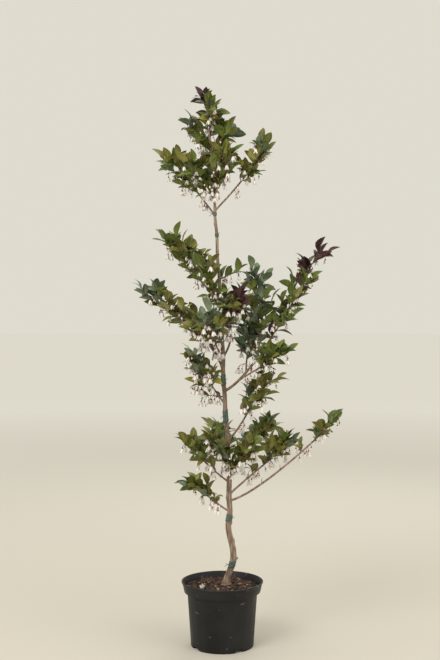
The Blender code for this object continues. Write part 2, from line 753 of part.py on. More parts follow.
def main():
    clear_scene()
    parts = new_collection("snowbell")
    cutters = new_collection("cutters")
    sleeves = new_collection("sleeves")
    helpers = new_collection("helpers")
    plastic = material("pot_plastic", (0.018, 0.018, 0.020), 0.5)
    bark = material("bark", (0.20, 0.14, 0.10), 0.75)
    earth = material("bark_chips", (0.07, 0.045, 0.03), 0.95)
    foliage = material("foliage", (0.16, 0.20, 0.05), 0.5)
    dress(build_pot(parts, cutters), plastic)
    dress(build_soil(parts), earth)
    trunk = build_trunk(parts)
    dress(trunk, bark, smooth=True)
    section = triangle_section(helpers)
    boughs, stems = build_limbs(parts, sleeves, section)
    remove_object(section)
    for bough in boughs:
        dress(bough, bark, smooth=True)
    build_masses(stems, [solid_of(obj) for obj in [trunk] + boughs], helpers)
    for stem, _ in stems.values():
        dress(stem, foliage)


main()
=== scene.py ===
"""The snowbell tree dressed for its render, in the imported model's frame, in metres, +Z up.

Bark, twigs, leaves and blossom grow along the same trunk and table of limbs as the solids,
by the same kind of rule, and are carried on to finer twigs within about the same reach.
"""
import itertools
import json
import math
import random
from collections import namedtuple

import bpy
import numpy as np
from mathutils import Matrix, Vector, noise
from mathutils.kdtree import KDTree

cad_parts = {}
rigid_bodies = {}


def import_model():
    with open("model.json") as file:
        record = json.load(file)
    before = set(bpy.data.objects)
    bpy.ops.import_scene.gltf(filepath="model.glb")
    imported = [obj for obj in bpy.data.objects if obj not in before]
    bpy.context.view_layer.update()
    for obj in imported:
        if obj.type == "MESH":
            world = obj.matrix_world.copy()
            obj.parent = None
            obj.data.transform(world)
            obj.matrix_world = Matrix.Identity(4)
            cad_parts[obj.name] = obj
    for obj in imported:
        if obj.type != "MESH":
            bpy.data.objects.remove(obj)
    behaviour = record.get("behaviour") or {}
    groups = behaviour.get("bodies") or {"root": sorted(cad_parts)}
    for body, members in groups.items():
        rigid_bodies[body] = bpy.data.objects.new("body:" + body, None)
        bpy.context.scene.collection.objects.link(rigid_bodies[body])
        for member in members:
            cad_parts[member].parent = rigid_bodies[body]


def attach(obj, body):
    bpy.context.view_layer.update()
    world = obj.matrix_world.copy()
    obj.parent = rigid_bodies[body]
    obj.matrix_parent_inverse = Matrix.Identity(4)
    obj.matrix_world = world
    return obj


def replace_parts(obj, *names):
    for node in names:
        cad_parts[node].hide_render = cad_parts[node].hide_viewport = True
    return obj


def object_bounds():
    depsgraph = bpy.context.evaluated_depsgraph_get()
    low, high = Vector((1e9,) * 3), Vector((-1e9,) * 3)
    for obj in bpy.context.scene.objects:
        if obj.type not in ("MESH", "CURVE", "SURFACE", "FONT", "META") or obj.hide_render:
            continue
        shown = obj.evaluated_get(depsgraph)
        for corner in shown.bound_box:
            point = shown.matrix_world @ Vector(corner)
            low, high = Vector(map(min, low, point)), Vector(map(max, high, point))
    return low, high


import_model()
CAD_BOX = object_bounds()

UP = Vector((0.0, 0.0, 1.0))
GOLDEN_TURN = math.radians(137.5)
FINER = 2.0                  # how much finer each layer of noise is than the one before
PLAIN_MARK = 0.5             # the middle tone, for shapes whose tone isn't left to chance
DETAIL_SEED = 7              # for ties, the fallen flower and the chips

# Camera: the photograph's frame in pixels, and where the camera stands
FRAME_WIDTH = 440
FRAME_HEIGHT = 660
FOCAL_PIXELS = 1048
SENSOR_HEIGHT = 36.0
CENTRE_PIXEL = (222.3, 315.5)
CAMERA_DISTANCE = 3.6
CAMERA_HEIGHT = 1.13

# Floor, surround and lights
FLOOR_REACH = 60.0
FLOOR_FADE = 9.0             # metres from the plant to its palest part
# near and far floor colours: the paler far colour is painted light, standing in for lamp light that falls off
# before it gets there
FLOOR_NEAR = (0.66, 0.63, 0.56)
FLOOR_FAR = (0.98, 0.97, 0.95)
SURROUND = (0.84, 0.81, 0.71)
SURROUND_STRENGTH = 0.88
# name, place, height of what it points at, size, power, colour
LIGHTS = (("key", (-1.9, -2.6, 3.2), 1.0, 2.2, 72.0, (1.0, 0.97, 0.92)),
          ("fill", (2.8, -1.8, 1.9), 1.0, 2.6, 30.0, (1.0, 0.97, 0.94)),
          ("back", (0.8, 2.8, 3.0), 1.1, 2.4, 25.0, (1.0, 0.98, 0.95)))

# Pot
POT_HEIGHT = 0.220
RIM_RADIUS = 0.140
BAND_FOOT_RADIUS = 0.131
BAND_HEIGHT = 0.036
BODY_TOP_RADIUS = 0.120
BODY_FOOT_RADIUS = 0.1075
POT_WALL = 0.0024
POT_FLOOR = 0.0035
POT_EDGE = 0.0020            # rounding at the rim and the foot
BEAD_HEIGHT = 0.0050         # the thick edge at the top of the rim
UNDERSIDE_RADIUS = BODY_FOOT_RADIUS - 4 * POT_WALL
POT_SIDES = 160
POT_BODY_STEPS = 8
POT_SHARP_ANGLE = math.radians(40)
CREASE = 0.0006              # how far the thin wall wavers
CREASES_ROUND = 6
CREASES_UP = 5
CREASE_FADE = 0.03           # height above the foot at which it wavers in full
NOTCH_COUNT = 4
NOTCH_FIRST_AZIMUTH = 33.0   # degrees from +X
NOTCH_WIDTH = 0.030
NOTCH_HEIGHT = 0.009
NOTCH_SLOPE = 0.004

# Soil
SOIL_TOP = 0.200
SOIL_SINK = 0.001            # how far its middle lies below the solid's top
SOIL_DEPTH = 0.010
SOIL_INSET = 0.008           # of its underside
SOIL_GAP = 0.0006            # to the pot's wall
SOIL_RINGS = 26
SOIL_SIDES = 72
SOIL_RELIEF = 0.004
SOIL_LUMPS = 42
SOIL_LAYER = 1.7
SOIL_FADE = 0.8              # how soon finer lumps die out
SOIL_EDGE_START = 0.7        # share of the rim's radius where it begins to fall
SOIL_EDGE_FALL = 0.008
CHIP_COUNT = 1500
CHIP_SIZES = (0.003, 0.015)
CHIP_WIDENS = 1.2
CHIP_THICKNESSES = (0.0012, 0.0035)
CHIP_TILT = 0.5
CHIP_LIFTS = (-0.0005, 0.0025)
CHIP_ROUGHNESS = (0.7, 1.15)
CHIP_GRAIN = 240.0
CHIP_TONES = (("chips_dark", 0.50, (0.030, 0.018, 0.012)),
              ("chips_brown", 0.43, (0.090, 0.045, 0.026)),
              ("chips_pale", 0.07, (0.27, 0.185, 0.12)))

# Trunk: height, x, y, diameter
TRUNK_STATIONS = (
    (0.200, 0.013, 0.018, 0.032),
    (0.222, 0.017, 0.016, 0.024),
    (0.273, 0.034, 0.010, 0.022),
    (0.325, 0.036, 0.006, 0.021),
    (0.405, 0.021, 0.004, 0.020),
    (0.460, 0.025, 0.003, 0.019),
    (0.565, 0.023, 0.000, 0.018),
    (0.702, 0.018, 0.002, 0.016),
    (0.874, 0.006, 0.004, 0.015),
    (1.080, -0.001, 0.000, 0.013),
    (1.286, -0.013, 0.003, 0.011),
    (1.458, -0.023, 0.000, 0.010),
    (1.647, -0.035, 0.003, 0.008),
    (1.784, -0.046, 0.000, 0.006),
    (1.850, -0.058, 0.001, 0.004),
)
TRUNK_RING_SPACING = 0.005
TRUNK_SIDES = 22
TRUNK_TWIST = 0.0012
TRUNK_TWIST_RATE = 46.0
FLARE_LOBES = 3
FLARE_TURN = 0.6
FLARE_SHARE = 0.28
FLARE_HEIGHT = 0.025
STUB_HEIGHT = 0.290
STUB_AZIMUTH = -20.0
STUB_RISE = 0.45
STUB_LENGTH = 0.018
STUB_RADIUS = 0.0050
STUB_TAPER = 0.8
STUB_STEPS = 6
BARK_RELIEF = 0.045          # share of the radius
BOUGH_RELIEF = 0.072
BARK_ROUND = 1.3             # how fast the relief changes round a stem, and up it
BARK_UP = 38
BARK_SCALE = 2.2
BOUGH_SCALE = 60
BARK_FADE = 0.7              # how soon finer layers of the relief die out
KNOT_SPREAD = 0.007
# Knots on the trunk: height, azimuth in degrees, how far they stand out
KNOTS = ((0.355, -15, 0.0035), (0.420, -10, 0.0040), (0.505, 190, 0.0022), (0.640, -60, 0.0020),
         (0.742, -80, 0.0022), (0.965, 200, 0.0018), (1.350, -70, 0.0016), (1.445, 175, 0.0018))

# Ties round the trunk: height, how tall, azimuth of the ends in degrees
TIES = ((0.273, 0.024, 200), (0.434, 0.024, -60), (0.785, 0.040, -120), (0.908, 0.036, -70),
        (1.073, 0.030, -30), (1.152, 0.014, -110), (1.283, 0.012, 170), (1.4065, 0.012, -80),
        (1.479, 0.014, 180), (1.650, 0.010, -60))
TIE_THICKNESS = 0.0012
TIE_SIDES = 36
TIE_ROW = 0.004
TIE_FOLDS = 3                # round the band
TIE_FOLD_SHIFT = 2.1         # from row to row
TIE_FOLD_SHARE = 0.5         # against the thickness
TIE_SKEW = 0.10              # against the height of the band
TIE_CHANCES = (40, 9)        # how the folds and the skew change from tie to tie
TIE_TAIL = 0.016
TIE_TAIL_WIDTH = 0.0022
TIE_TAIL_TURN = 16
TIE_TAIL_CURL = 0.5
TIE_TAIL_END_SHARE = 0.55
TIE_TAIL_STEPS = 5
TIE_TAIL_SIDES = 6

# Limbs
COLLAR_SHARE = 0.45
COLLAR_LENGTH = 0.012
TIP_RADIUS = 0.0024
SWAY = 0.035
NEARLY_UPRIGHT = 0.05
BOUGH_STEP = 0.008
BOUGH_STEPS_LEAST = 6
BOUGH_SIDES = 12
STEM_STEPS = 12
STEM_SIDES = 8
STEM_TIP_SHARE = 0.45        # how thin a stem ends, against the solid's tip

# Growth
FIRST_SEED = 100
LEAF_LENGTH = 0.053
LEAF_WIDTH = 0.025
LEAF_SIZES = (0.74, 1.20)
LEAF_WIDTHS = (0.88, 1.12)
LEAF_PLACE = 0.9             # of each leaf in its share of the stem
LEAF_MIDDLE = 0.6            # share of its length that needs room, besides its tip
LEAF_LIFTS = (-0.1, 0.7)
LEAF_ROLL = 1.1
LEAF_SPREADS = (0.7, 1.7)
END_SPREADS = (0.1, 0.4)
# A leaf's rows: share of its length, share of its half width
LEAF_ROWS = ((-0.09, 0.03), (0.0, 0.05), (0.10, 0.42), (0.26, 0.80), (0.46, 1.00),
             (0.66, 0.91), (0.82, 0.62), (0.93, 0.27), (1.0, 0.0))
LEAF_ARCH = (0.05, 0.14)
LEAF_DROOP = (0.05, 0.34)
LEAF_FOLD = (0.08, 0.42)
LEAF_WAVE = 0.05
LEAF_WAVES = 9
SIDE_ANGLES = (0.3, 2.2)
TURN_SCATTER = 0.3
STEEP = 0.75
TWIG_RADIUS = 0.0013
TWIG_END_SHARE = 0.45
TWIG_SIDES = 6
TWIG_LIFT = 0.30
TWIG_AHEAD = 0.7
TWIG_SPREADS = (0.8, 1.1)
TWIG_SIZES = (1.0, 1.65)
TWIG_FIRST = 0.04
TWIG_SPAN = 0.88
TWIG_PLACES = (0.2, 0.8)
TWIG_LONGEST = 1.15
TWIG_SHORTENS = 0.4
TWIG_STEPS = 5
TWIG_CURL = 0.18
TWIG_CURLS = (0.3, 1.2)
TWIG_ASIDE = 0.06
TWIGS_EACH = 2               # finer twigs for each side twig of the solid
SHOOT_CHANCE = 0.80
SHOOT_SHARE = 0.5
SHOOT_PLACES = (0.35, 0.7)
SHOOT_RADIUS_SHARE = 0.7
SHOOT_SIDES = 5
SHOOT_LEAF_SIZE = 0.82
LEAVES_ON_TWIG = 5
LEAVES_ON_SHOOT = 3
STEM_LEAVES = 2.2            # against the solid's leaves on the same stem
STEM_TONE_SHARE = 0.8        # where the tone of the stem's own leaves is read
TRIES = 5
SMALLER_EACH_TRY = 0.07
WOOD_CLEARANCE = 0.009
WOOD_PARTS = 2               # finer points between those of the wood, and of the stems
STEM_PARTS = 6
SPACE_OVERLAP = 0.014        # how far a finer leaf may pass the middle between two masses
BOX_MARGIN = 0.004           # how far a leaf's tip may pass the model's box

# Blossom
FLOWERS_EACH = 5             # finer flowers for each flower of the solid
BUDS_EACH = 4
BOUGH_FLOWERS = 6            # flowers and buds on the outer part of each bough
BOUGH_FLOWERED = 0.45        # share of the bough at which they begin
FLOWER_PLACES = (0.15, 0.97)
FLOWER_ASIDE = (0.1, 1.2)
FLOWER_AHEAD = (-0.5, 0.9)
FLOWER_SWING = (-0.1, 0.25)
FLOWER_LEAN = 0.35           # how far a flower, and a bud, follow the end of their stalk
BUD_LEAN = 1.6
STALK_LENGTHS = (0.014, 0.030)
BUD_STALK_SHARE = 0.75
STALK_RADIUS = 0.0008
STALK_DROP = 0.65
STALK_CURVE = 1.8
STALK_STEPS = 5
STALK_SIDES = 5
BELL_LENGTH = 0.0175
BELL_START = 0.0020          # from the stalk's end to the foot of the petals or bud
BELL_SIZES = (0.88, 1.08)
BELL_SPREADS = (0.85, 1.25)
PETALS = 5
PETAL_BULGE = 1.06
# A petal's rows: share of its length, distance from the bell's axis, half angle in degrees
PETAL_ROWS = ((0.0, 0.0022, 36), (0.18, 0.0040, 37), (0.42, 0.0056, 36),
              (0.66, 0.0068, 31), (0.86, 0.0080, 20), (1.0, 0.0092, 3))
# Rings of small turned bodies: distance from the foot, radius
CALYX_RINGS = ((0.0, 0.0007), (0.0012, 0.0021), (0.0034, 0.0029), (0.0044, 0.0031))
BUD_RINGS = ((0.0, 0.0010), (0.0020, 0.0024), (0.0048, 0.0034), (0.0075, 0.0033),
             (0.0100, 0.0020), (0.0115, 0.0004))
RING_SIDES = 8
CALYX_BACK = 0.0006          # how far the calyx reaches back over the stalk
BUD_SIZES = (0.75, 1.15)
STAMENS = 6
STAMEN_RADIUS = 0.0005
STAMEN_SIDES = 4
STAMEN_FOOT = 0.0012
STAMEN_SPREAD = 0.0024
STAMEN_LENGTHS = (0.72, 0.84)
# A stamen's rings: share of its length, share of its radius
STAMEN_RINGS = ((0.0, 0.6), (0.7, 1.0), (1.0, 1.3))

# Sprigs on bare boughs: limb, share of the bough, side
SPRIGS = (("low_right", 0.40, -1), ("low_right", 0.62, 1), ("low_right", 0.86, -1), ("left_long", 0.80, 1),
          ("right_lower", 0.75, -1), ("right_high", 0.62, 1), ("left_lower", 0.70, 1), ("low_left", 0.75, -1))
SPRIG_SEED = 11
SPRIG_ANGLE = 0.9
SPRIG_AHEAD = 0.5
SPRIG_LENGTH = 0.022
SPRIG_LEAVES = 4
SPRIG_LEAF_SIZE = 0.72
SPRIG_FLOWERS = 4

# A flower that has dropped on the soil: where its top lies, and which way it points
FALLEN_PLACE = (-0.064, -0.042, 0.203)
FALLEN_DIRECTION = (-0.3, -0.6, 0.7)

# Tones of leaf: base colour. The blue-grey green tone is painted sheen: the glossy shine of lit leaves put
# into a base colour
TONES = {
    "green": (0.125, 0.160, 0.034),
    "olive": (0.190, 0.182, 0.042),
    "painted_sheen": (0.135, 0.175, 0.110),
    "purple": (0.060, 0.024, 0.026),
}
# share of sprays dealt the blue-grey green tone, which paints the leaves' glossy sheen into their colour
PAINTED_SHEEN_SHARE = 0.10
OLIVE_SHARE = 0.45
OWN_TONE_SHARE = 0.85
# Limbs whose outer sprays are a tone of their own: tone, share of the stem where it begins. The blue-grey
# green tone given to some of them is painted sheen, not a colour the leaves have
LIMB_TONES = {
    "right_high": ("purple", 0.74), "front_mid": ("purple", 0.80), "top_right": ("purple", 0.86),
    "leader_tip": ("purple", 0.0), "right_inner": ("painted_sheen", 0.2), "left_long": ("painted_sheen", 0.75),
    "right_upright": ("painted_sheen", 0.6), "front_left_mid": ("painted_sheen", 0.6),
}

# Tones of the rest: dark and light, or foot, middle and tip
TWIG_TONES = ((0.055, 0.030, 0.022), (0.17, 0.10, 0.065))
STALK_TONES = ((0.16, 0.060, 0.055), (0.33, 0.130, 0.110))
CALYX_TONES = ((0.060, 0.022, 0.022), (0.13, 0.060, 0.040))
TIE_TONES = ((0.050, 0.080, 0.066), (0.115, 0.160, 0.130))
PETAL_TONES = ((0.78, 0.62, 0.60), (0.88, 0.84, 0.80), (0.90, 0.88, 0.84))
BUD_TONES = ((0.62, 0.36, 0.36), (0.84, 0.72, 0.69), (0.88, 0.80, 0.76))
STAMEN_TONE = (0.72, 0.45, 0.09)
SOIL_TONE = (0.045, 0.028, 0.018)
BLACK = (0.0, 0.0, 0.0)
WHITE = (1.0, 1.0, 1.0)
LEAF_SHADES = (0.62, 1.45)   # the darkest and the palest leaf, against their tone
GRAIN_SHADES = (0.5, 1.7)
LEAF_VEINS = 62.0            # how close they lie along the leaf
VEIN_SLANT = 0.16
VEIN_CREST = 0.86            # the height of a vein's wave above which it is pale
VEIN_PALE = (0.22, 1.8)      # share of the paler tone, and how pale that is
RIB_WIDTH = 0.07
RIB_PALE = (0.45, 2.4)
PETAL_VEINS = 16.0
FLECK_SHARE = 0.35
DUST_SHARE = 0.45
SCUFF_SHARE = 0.45

Limb = namedtuple("Limb", "name parent foot azimuth reach rise bend bare girth spread twigs leaves blossom")

# name, parent, foot (height on the trunk, or share of the parent bough), azimuth in degrees,
# reach outwards, rise, bend (under 1 starts steep, over 1 ends steep), bare share of its length,
# radius at its foot, length of its side twigs, then how many side twigs, leaves on its own stem
# and open flowers the solid has
LIMBS = tuple(Limb(*row) for row in (
    ("low_left", "trunk", 0.455, 165, 0.135, 0.086, 1.00, 0.45, 0.0032, 0.026, 2, 4, 1),
    ("left_lower", "trunk", 0.558, 200, 0.155, 0.135, 1.10, 0.50, 0.0032, 0.028, 2, 4, 2),
    ("low_right", "trunk", 0.494, -12, 0.365, 0.285, 1.30, 0.78, 0.0040, 0.026, 1, 4, 1),
    ("right_lower", "trunk", 0.512, 10, 0.218, 0.165, 0.85, 0.58, 0.0036, 0.032, 3, 6, 3),
    ("right_mid", "trunk", 0.700, -25, 0.146, 0.215, 1.15, 0.42, 0.0036, 0.045, 4, 6, 3),
    ("right_low_inner", "trunk", 0.600, 48, 0.245, 0.125, 0.75, 0.50, 0.0032, 0.030, 3, 6, 2),
    ("right_high", "trunk", 0.872, -8, 0.322, 0.475, 1.40, 0.46, 0.0050, 0.040, 5, 8, 3),
    ("right_fork", "right_high", 0.20, -38, 0.190, 0.108, 0.95, 0.55, 0.0032, 0.035, 3, 6, 2),
    ("right_upright", "right_high", 0.82, 100, 0.045, 0.285, 0.90, 0.12, 0.0034, 0.045, 5, 9, 2),
    ("right_inner", "right_high", 0.52, 75, 0.050, 0.150, 1.00, 0.20, 0.0030, 0.040, 3, 5, 2),
    ("left_long", "trunk", 0.918, 172, 0.282, 0.285, 0.55, 0.50, 0.0044, 0.040, 5, 6, 3),
    ("left_inner", "left_long", 0.50, -125, 0.125, 0.105, 0.90, 0.20, 0.0030, 0.038, 4, 6, 2),
    ("left_flowered", "trunk", 0.825, 198, 0.120, 0.165, 1.00, 0.25, 0.0034, 0.035, 3, 5, 7),
    ("left_twig", "trunk", 0.850, 150, 0.085, 0.005, 1.00, 0.00, 0.0024, 0.000, 0, 2, 1),
    ("left_upper", "trunk", 1.178, 165, 0.195, 0.205, 1.00, 0.42, 0.0038, 0.040, 4, 7, 2),
    ("left_upper_inner", "trunk", 1.140, -140, 0.085, 0.160, 1.00, 0.00, 0.0028, 0.035, 3, 6, 2),
    ("right_twig", "trunk", 1.255, 10, 0.070, 0.030, 1.00, 0.00, 0.0024, 0.000, 0, 3, 1),
    ("front_mid", "trunk", 1.040, -72, 0.150, 0.135, 0.90, 0.25, 0.0032, 0.035, 3, 5, 2),
    ("front_left_mid", "trunk", 0.985, -108, 0.200, 0.120, 0.85, 0.35, 0.0034, 0.035, 3, 5, 2),
    ("low_centre_left", "trunk", 0.600, -117, 0.140, 0.115, 1.00, 0.00, 0.0030, 0.030, 3, 6, 2),
    ("low_centre_right", "trunk", 0.590, -60, 0.150, 0.100, 1.00, 0.00, 0.0030, 0.030, 3, 6, 3),
    ("back_low", "trunk", 0.545, 98, 0.260, 0.155, 0.90, 0.50, 0.0036, 0.040, 3, 6, 2),
    ("back_mid", "trunk", 0.985, 78, 0.280, 0.190, 0.90, 0.50, 0.0038, 0.040, 3, 6, 2),
    ("back_high", "trunk", 1.160, 122, 0.200, 0.170, 1.00, 0.40, 0.0034, 0.035, 4, 6, 2),
    ("top_right", "trunk", 1.490, -15, 0.190, 0.200, 1.00, 0.45, 0.0034, 0.035, 3, 6, 2),
    ("top_front", "trunk", 1.545, -70, 0.120, 0.115, 1.00, 0.00, 0.0026, 0.030, 3, 5, 2),
    ("top_left", "trunk", 1.474, 170, 0.150, 0.195, 1.00, 0.35, 0.0034, 0.040, 4, 5, 3),
    ("top_left_front", "trunk", 1.520, -135, 0.100, 0.125, 1.00, 0.00, 0.0026, 0.030, 3, 5, 2),
    ("top_back", "trunk", 1.510, 85, 0.155, 0.175, 1.00, 0.35, 0.0032, 0.035, 3, 6, 2),
    ("leader_left", "trunk", 1.690, 165, 0.085, 0.095, 1.00, 0.00, 0.0024, 0.025, 2, 5, 2),
    ("leader_right", "trunk", 1.680, -20, 0.065, 0.085, 1.00, 0.00, 0.0024, 0.025, 2, 5, 1),
    ("leader_back", "trunk", 1.745, 80, 0.055, 0.080, 1.00, 0.00, 0.0024, 0.020, 2, 5, 1),
    ("leader_front", "trunk", 1.775, -75, 0.045, 0.060, 1.00, 0.00, 0.0024, 0.020, 1, 5, 1),
    ("leader_tip", "trunk", 1.850, 160, 0.010, 0.022, 1.00, 0.00, 0.0024, 0.000, 0, 7, 0),
))


# Materials

def new_material(name, colour, roughness, specular=0.5):
    """A material, its node tree and its shader, with its plain values set on the shader."""
    made = bpy.data.materials.new(name)
    made.use_nodes = True
    made.diffuse_color = (*colour, 1.0)
    shader = made.node_tree.nodes["Principled BSDF"]
    shader.inputs["Base Color"].default_value = (*colour, 1.0)
    shader.inputs["Roughness"].default_value = roughness
    shader.inputs["Specular IOR Level"].default_value = specular
    return made, made.node_tree, shader


def add_node(tree, kind, values=None, **settings):
    made = tree.nodes.new(kind)
    for name, value in settings.items():
        setattr(made, name, value)
    for name, value in (values or {}).items():
        made.inputs[name].default_value = value
    return made


def add_noise(tree, scale, detail=4.0, stretch=None):
    """Noise in the object's own coordinates, stretched by a scale along each axis."""
    place = add_node(tree, "ShaderNodeTexCoord")
    texture = add_node(tree, "ShaderNodeTexNoise", {"Scale": scale, "Detail": detail})
    source = place.outputs["Object"]
    if stretch:
        mapping = add_node(tree, "ShaderNodeMapping", {"Scale": stretch})
        tree.links.new(source, mapping.inputs["Vector"])
        source = mapping.outputs["Vector"]
    tree.links.new(source, texture.inputs["Vector"])
    return texture.outputs["Fac"]


def add_ramp(tree, source, stops):
    """A colour ramp with the given places and colours."""
    ramp = add_node(tree, "ShaderNodeValToRGB")
    elements = ramp.color_ramp.elements
    while len(elements) < len(stops):
        elements.new(0.5)
    for element, (place, colour) in zip(elements, stops):
        element.position = place
        element.color = (*colour, 1.0)
    tree.links.new(source, ramp.inputs["Fac"])
    return ramp.outputs["Color"]


def add_mask(tree, source, low, high):
    """Black below one value of the source, white above another."""
    return add_ramp(tree, source, ((low, BLACK), (high, WHITE)))


def feed(tree, socket, value):
    """Gives a socket a number, a colour or what another socket puts out."""
    if isinstance(value, (int, float)):
        socket.default_value = value
    elif isinstance(value, tuple):
        socket.default_value = (*value, 1.0)
    else:
        tree.links.new(value, socket)


def add_math(tree, operation, first, second=0.0):
    made = add_node(tree, "ShaderNodeMath", operation=operation)
    feed(tree, made.inputs[0], first)
    feed(tree, made.inputs[1], second)
    return made.outputs[0]


def add_mix(tree, share, first, second, blend="MIX"):
    """Two colours mixed by a share."""
    made = add_node(tree, "ShaderNodeMix", data_type="RGBA", blend_type=blend)
    for index, value in ((0, share), (6, first), (7, second)):
        feed(tree, made.inputs[index], value)
    return made.outputs[2]


def add_bump(tree, shader, source, strength, distance):
    bump = add_node(tree, "ShaderNodeBump", {"Strength": strength, "Distance": distance})
    tree.links.new(source, bump.inputs["Height"])
    tree.links.new(bump.outputs["Normal"], shader.inputs["Normal"])


def add_marks(tree):
    """What each corner carries: across, along, and a number that is the same all over a shape."""
    marks = add_node(tree, "ShaderNodeAttribute", attribute_name="marks")
    parts = add_node(tree, "ShaderNodeSeparateXYZ")
    tree.links.new(marks.outputs["Vector"], parts.inputs["Vector"])
    return parts.outputs["X"], parts.outputs["Y"], parts.outputs["Z"]


def scaled(colour, factor):
    return tuple(min(1.0, part * factor) for part in colour)


def leaf_material(name, colour):
    """A glossy blade with a pale midrib, faint side veins and a tone of its own."""
    made, tree, shader = new_material(name, colour, roughness=0.42, specular=0.45)
    across, along, chance = add_marks(tree)
    side = add_math(tree, "ABSOLUTE", across)
    dark, pale = [scaled(colour, shade) for shade in LEAF_SHADES]
    base = add_ramp(tree, chance, ((0.0, dark), (0.5, colour), (1.0, pale)))
    cloud = add_noise(tree, scale=38.0)
    blotch = add_ramp(tree, cloud, ((0.30, (0.72, 0.76, 0.66)), (0.70, (1.12, 1.08, 1.05))))
    base = add_mix(tree, 1.0, base, blotch, "MULTIPLY")
    slanted = add_math(tree, "SUBTRACT", along, add_math(tree, "MULTIPLY", side, VEIN_SLANT))
    veins = add_math(tree, "SINE", add_math(tree, "MULTIPLY", slanted, LEAF_VEINS))
    rib = add_math(tree, "LESS_THAN", side, RIB_WIDTH)
    crests = add_math(tree, "GREATER_THAN", veins, VEIN_CREST)
    for mask, (share, shade) in ((rib, RIB_PALE), (crests, VEIN_PALE)):
        base = add_mix(tree, add_math(tree, "MULTIPLY", mask, share), base, scaled(colour, shade))
    tree.links.new(base, shader.inputs["Base Color"])
    add_bump(tree, shader, veins, strength=0.25, distance=0.0006)
    return made


def bark_material():
    """Grey-brown bark with pale flecks and fine upright cracks."""
    made, tree, shader = new_material("bark", (0.22, 0.15, 0.11), roughness=0.78)
    streaks = add_noise(tree, scale=60.0, detail=8.0, stretch=(3.0, 3.0, 0.5))
    flecks = add_noise(tree, scale=210.0, detail=3.0)
    base = add_ramp(tree, streaks, ((0.28, (0.085, 0.055, 0.040)), (0.48, (0.225, 0.150, 0.108)),
                                    (0.70, (0.42, 0.32, 0.25))))
    pale = add_mask(tree, flecks, low=0.60, high=0.70)
    base = add_mix(tree, add_math(tree, "MULTIPLY", pale, FLECK_SHARE), base, (0.42, 0.37, 0.31))
    tree.links.new(base, shader.inputs["Base Color"])
    add_bump(tree, shader, streaks, strength=0.8, distance=0.0015)
    return made


def twig_material(name, dark, light):
    """A fine mottled grain between a dark and a light tone."""
    made, tree, shader = new_material(name, light, roughness=0.6)
    grain = add_noise(tree, scale=120.0, detail=5.0, stretch=(2.0, 2.0, 1.0))
    base = add_ramp(tree, grain, ((0.30, dark), (0.70, light)))
    tree.links.new(base, shader.inputs["Base Color"])
    add_bump(tree, shader, grain, strength=0.4, distance=0.0006)
    return made


def petal_material(name, foot, middle, tip):
    """A soft petal, tinted at its foot, with faint lengthwise veins."""
    made, tree, shader = new_material(name, middle, roughness=0.55)
    across, along, chance = add_marks(tree)
    base = add_ramp(tree, along, ((0.0, foot), (0.30, middle), (1.0, tip)))
    shade = add_ramp(tree, chance, ((0.0, (0.90, 0.88, 0.88)), (1.0, WHITE)))
    tree.links.new(add_mix(tree, 1.0, base, shade, "MULTIPLY"), shader.inputs["Base Color"])
    veins = add_math(tree, "SINE", add_math(tree, "MULTIPLY", across, PETAL_VEINS))
    add_bump(tree, shader, veins, strength=0.2, distance=0.0004)
    shader.inputs["Subsurface Weight"].default_value = 0.15
    shader.inputs["Subsurface Scale"].default_value = 0.002
    return made


def plastic_material():
    """Black moulded plastic with clouds of dust and pale scuffs."""
    made, tree, shader = new_material("pot_plastic", (0.012, 0.012, 0.013), roughness=0.46, specular=0.32)
    cloud = add_noise(tree, scale=9.0, detail=6.0)
    scratch = add_noise(tree, scale=34.0, detail=9.0, stretch=(1.0, 1.0, 1.7))
    fine = add_noise(tree, scale=420.0, detail=2.0)
    dust = add_math(tree, "MULTIPLY", add_mask(tree, cloud, low=0.42, high=0.80), DUST_SHARE)
    base = add_mix(tree, dust, (0.006, 0.006, 0.007), (0.036, 0.040, 0.044))
    scuffs = add_math(tree, "MULTIPLY", add_mask(tree, scratch, low=0.665, high=0.72), SCUFF_SHARE)
    base = add_mix(tree, scuffs, base, (0.24, 0.225, 0.20))
    tree.links.new(base, shader.inputs["Base Color"])
    rough = add_ramp(tree, cloud, ((0.30, scaled(WHITE, 0.38)), (0.75, scaled(WHITE, 0.68))))
    tree.links.new(rough, shader.inputs["Roughness"])
    add_bump(tree, shader, fine, strength=0.12, distance=0.0004)
    return made


def floor_material():
    """A plain pale floor painted paler with distance: painted light that makes up for the lamps' falloff, so
    that far away it turns as pale as its surround.
    """
    made, tree, shader = new_material("floor", FLOOR_NEAR, roughness=0.85, specular=0.0)
    place = add_node(tree, "ShaderNodeTexCoord")
    length = add_node(tree, "ShaderNodeVectorMath", operation="LENGTH")
    tree.links.new(place.outputs["Object"], length.inputs[0])
    share = add_math(tree, "DIVIDE", length.outputs["Value"], FLOOR_FADE)
    # painted light: the floor's colour pales with distance to make up for the lamps' falloff
    base = add_ramp(tree, share, ((0.08, FLOOR_NEAR), (1.0, FLOOR_FAR)))
    tree.links.new(base, shader.inputs["Base Color"])
    return made


def grainy_material(name, colour, roughness, scale=160.0):
    """A crumbly surface whose tone changes from piece to piece."""
    made, tree, shader = new_material(name, colour, roughness)
    grain = add_noise(tree, scale, detail=6.0)
    dark, pale = [scaled(colour, shade) for shade in GRAIN_SHADES]
    base = add_ramp(tree, grain, ((0.30, dark), (0.72, pale)))
    chance = add_marks(tree)[2]
    shade = add_ramp(tree, chance, ((0.0, (0.6, 0.6, 0.6)), (1.0, (1.3, 1.25, 1.2))))
    tree.links.new(add_mix(tree, 1.0, base, shade, "MULTIPLY"), shader.inputs["Base Color"])
    add_bump(tree, shader, grain, strength=0.7, distance=0.0015)
    return made


# Shapes

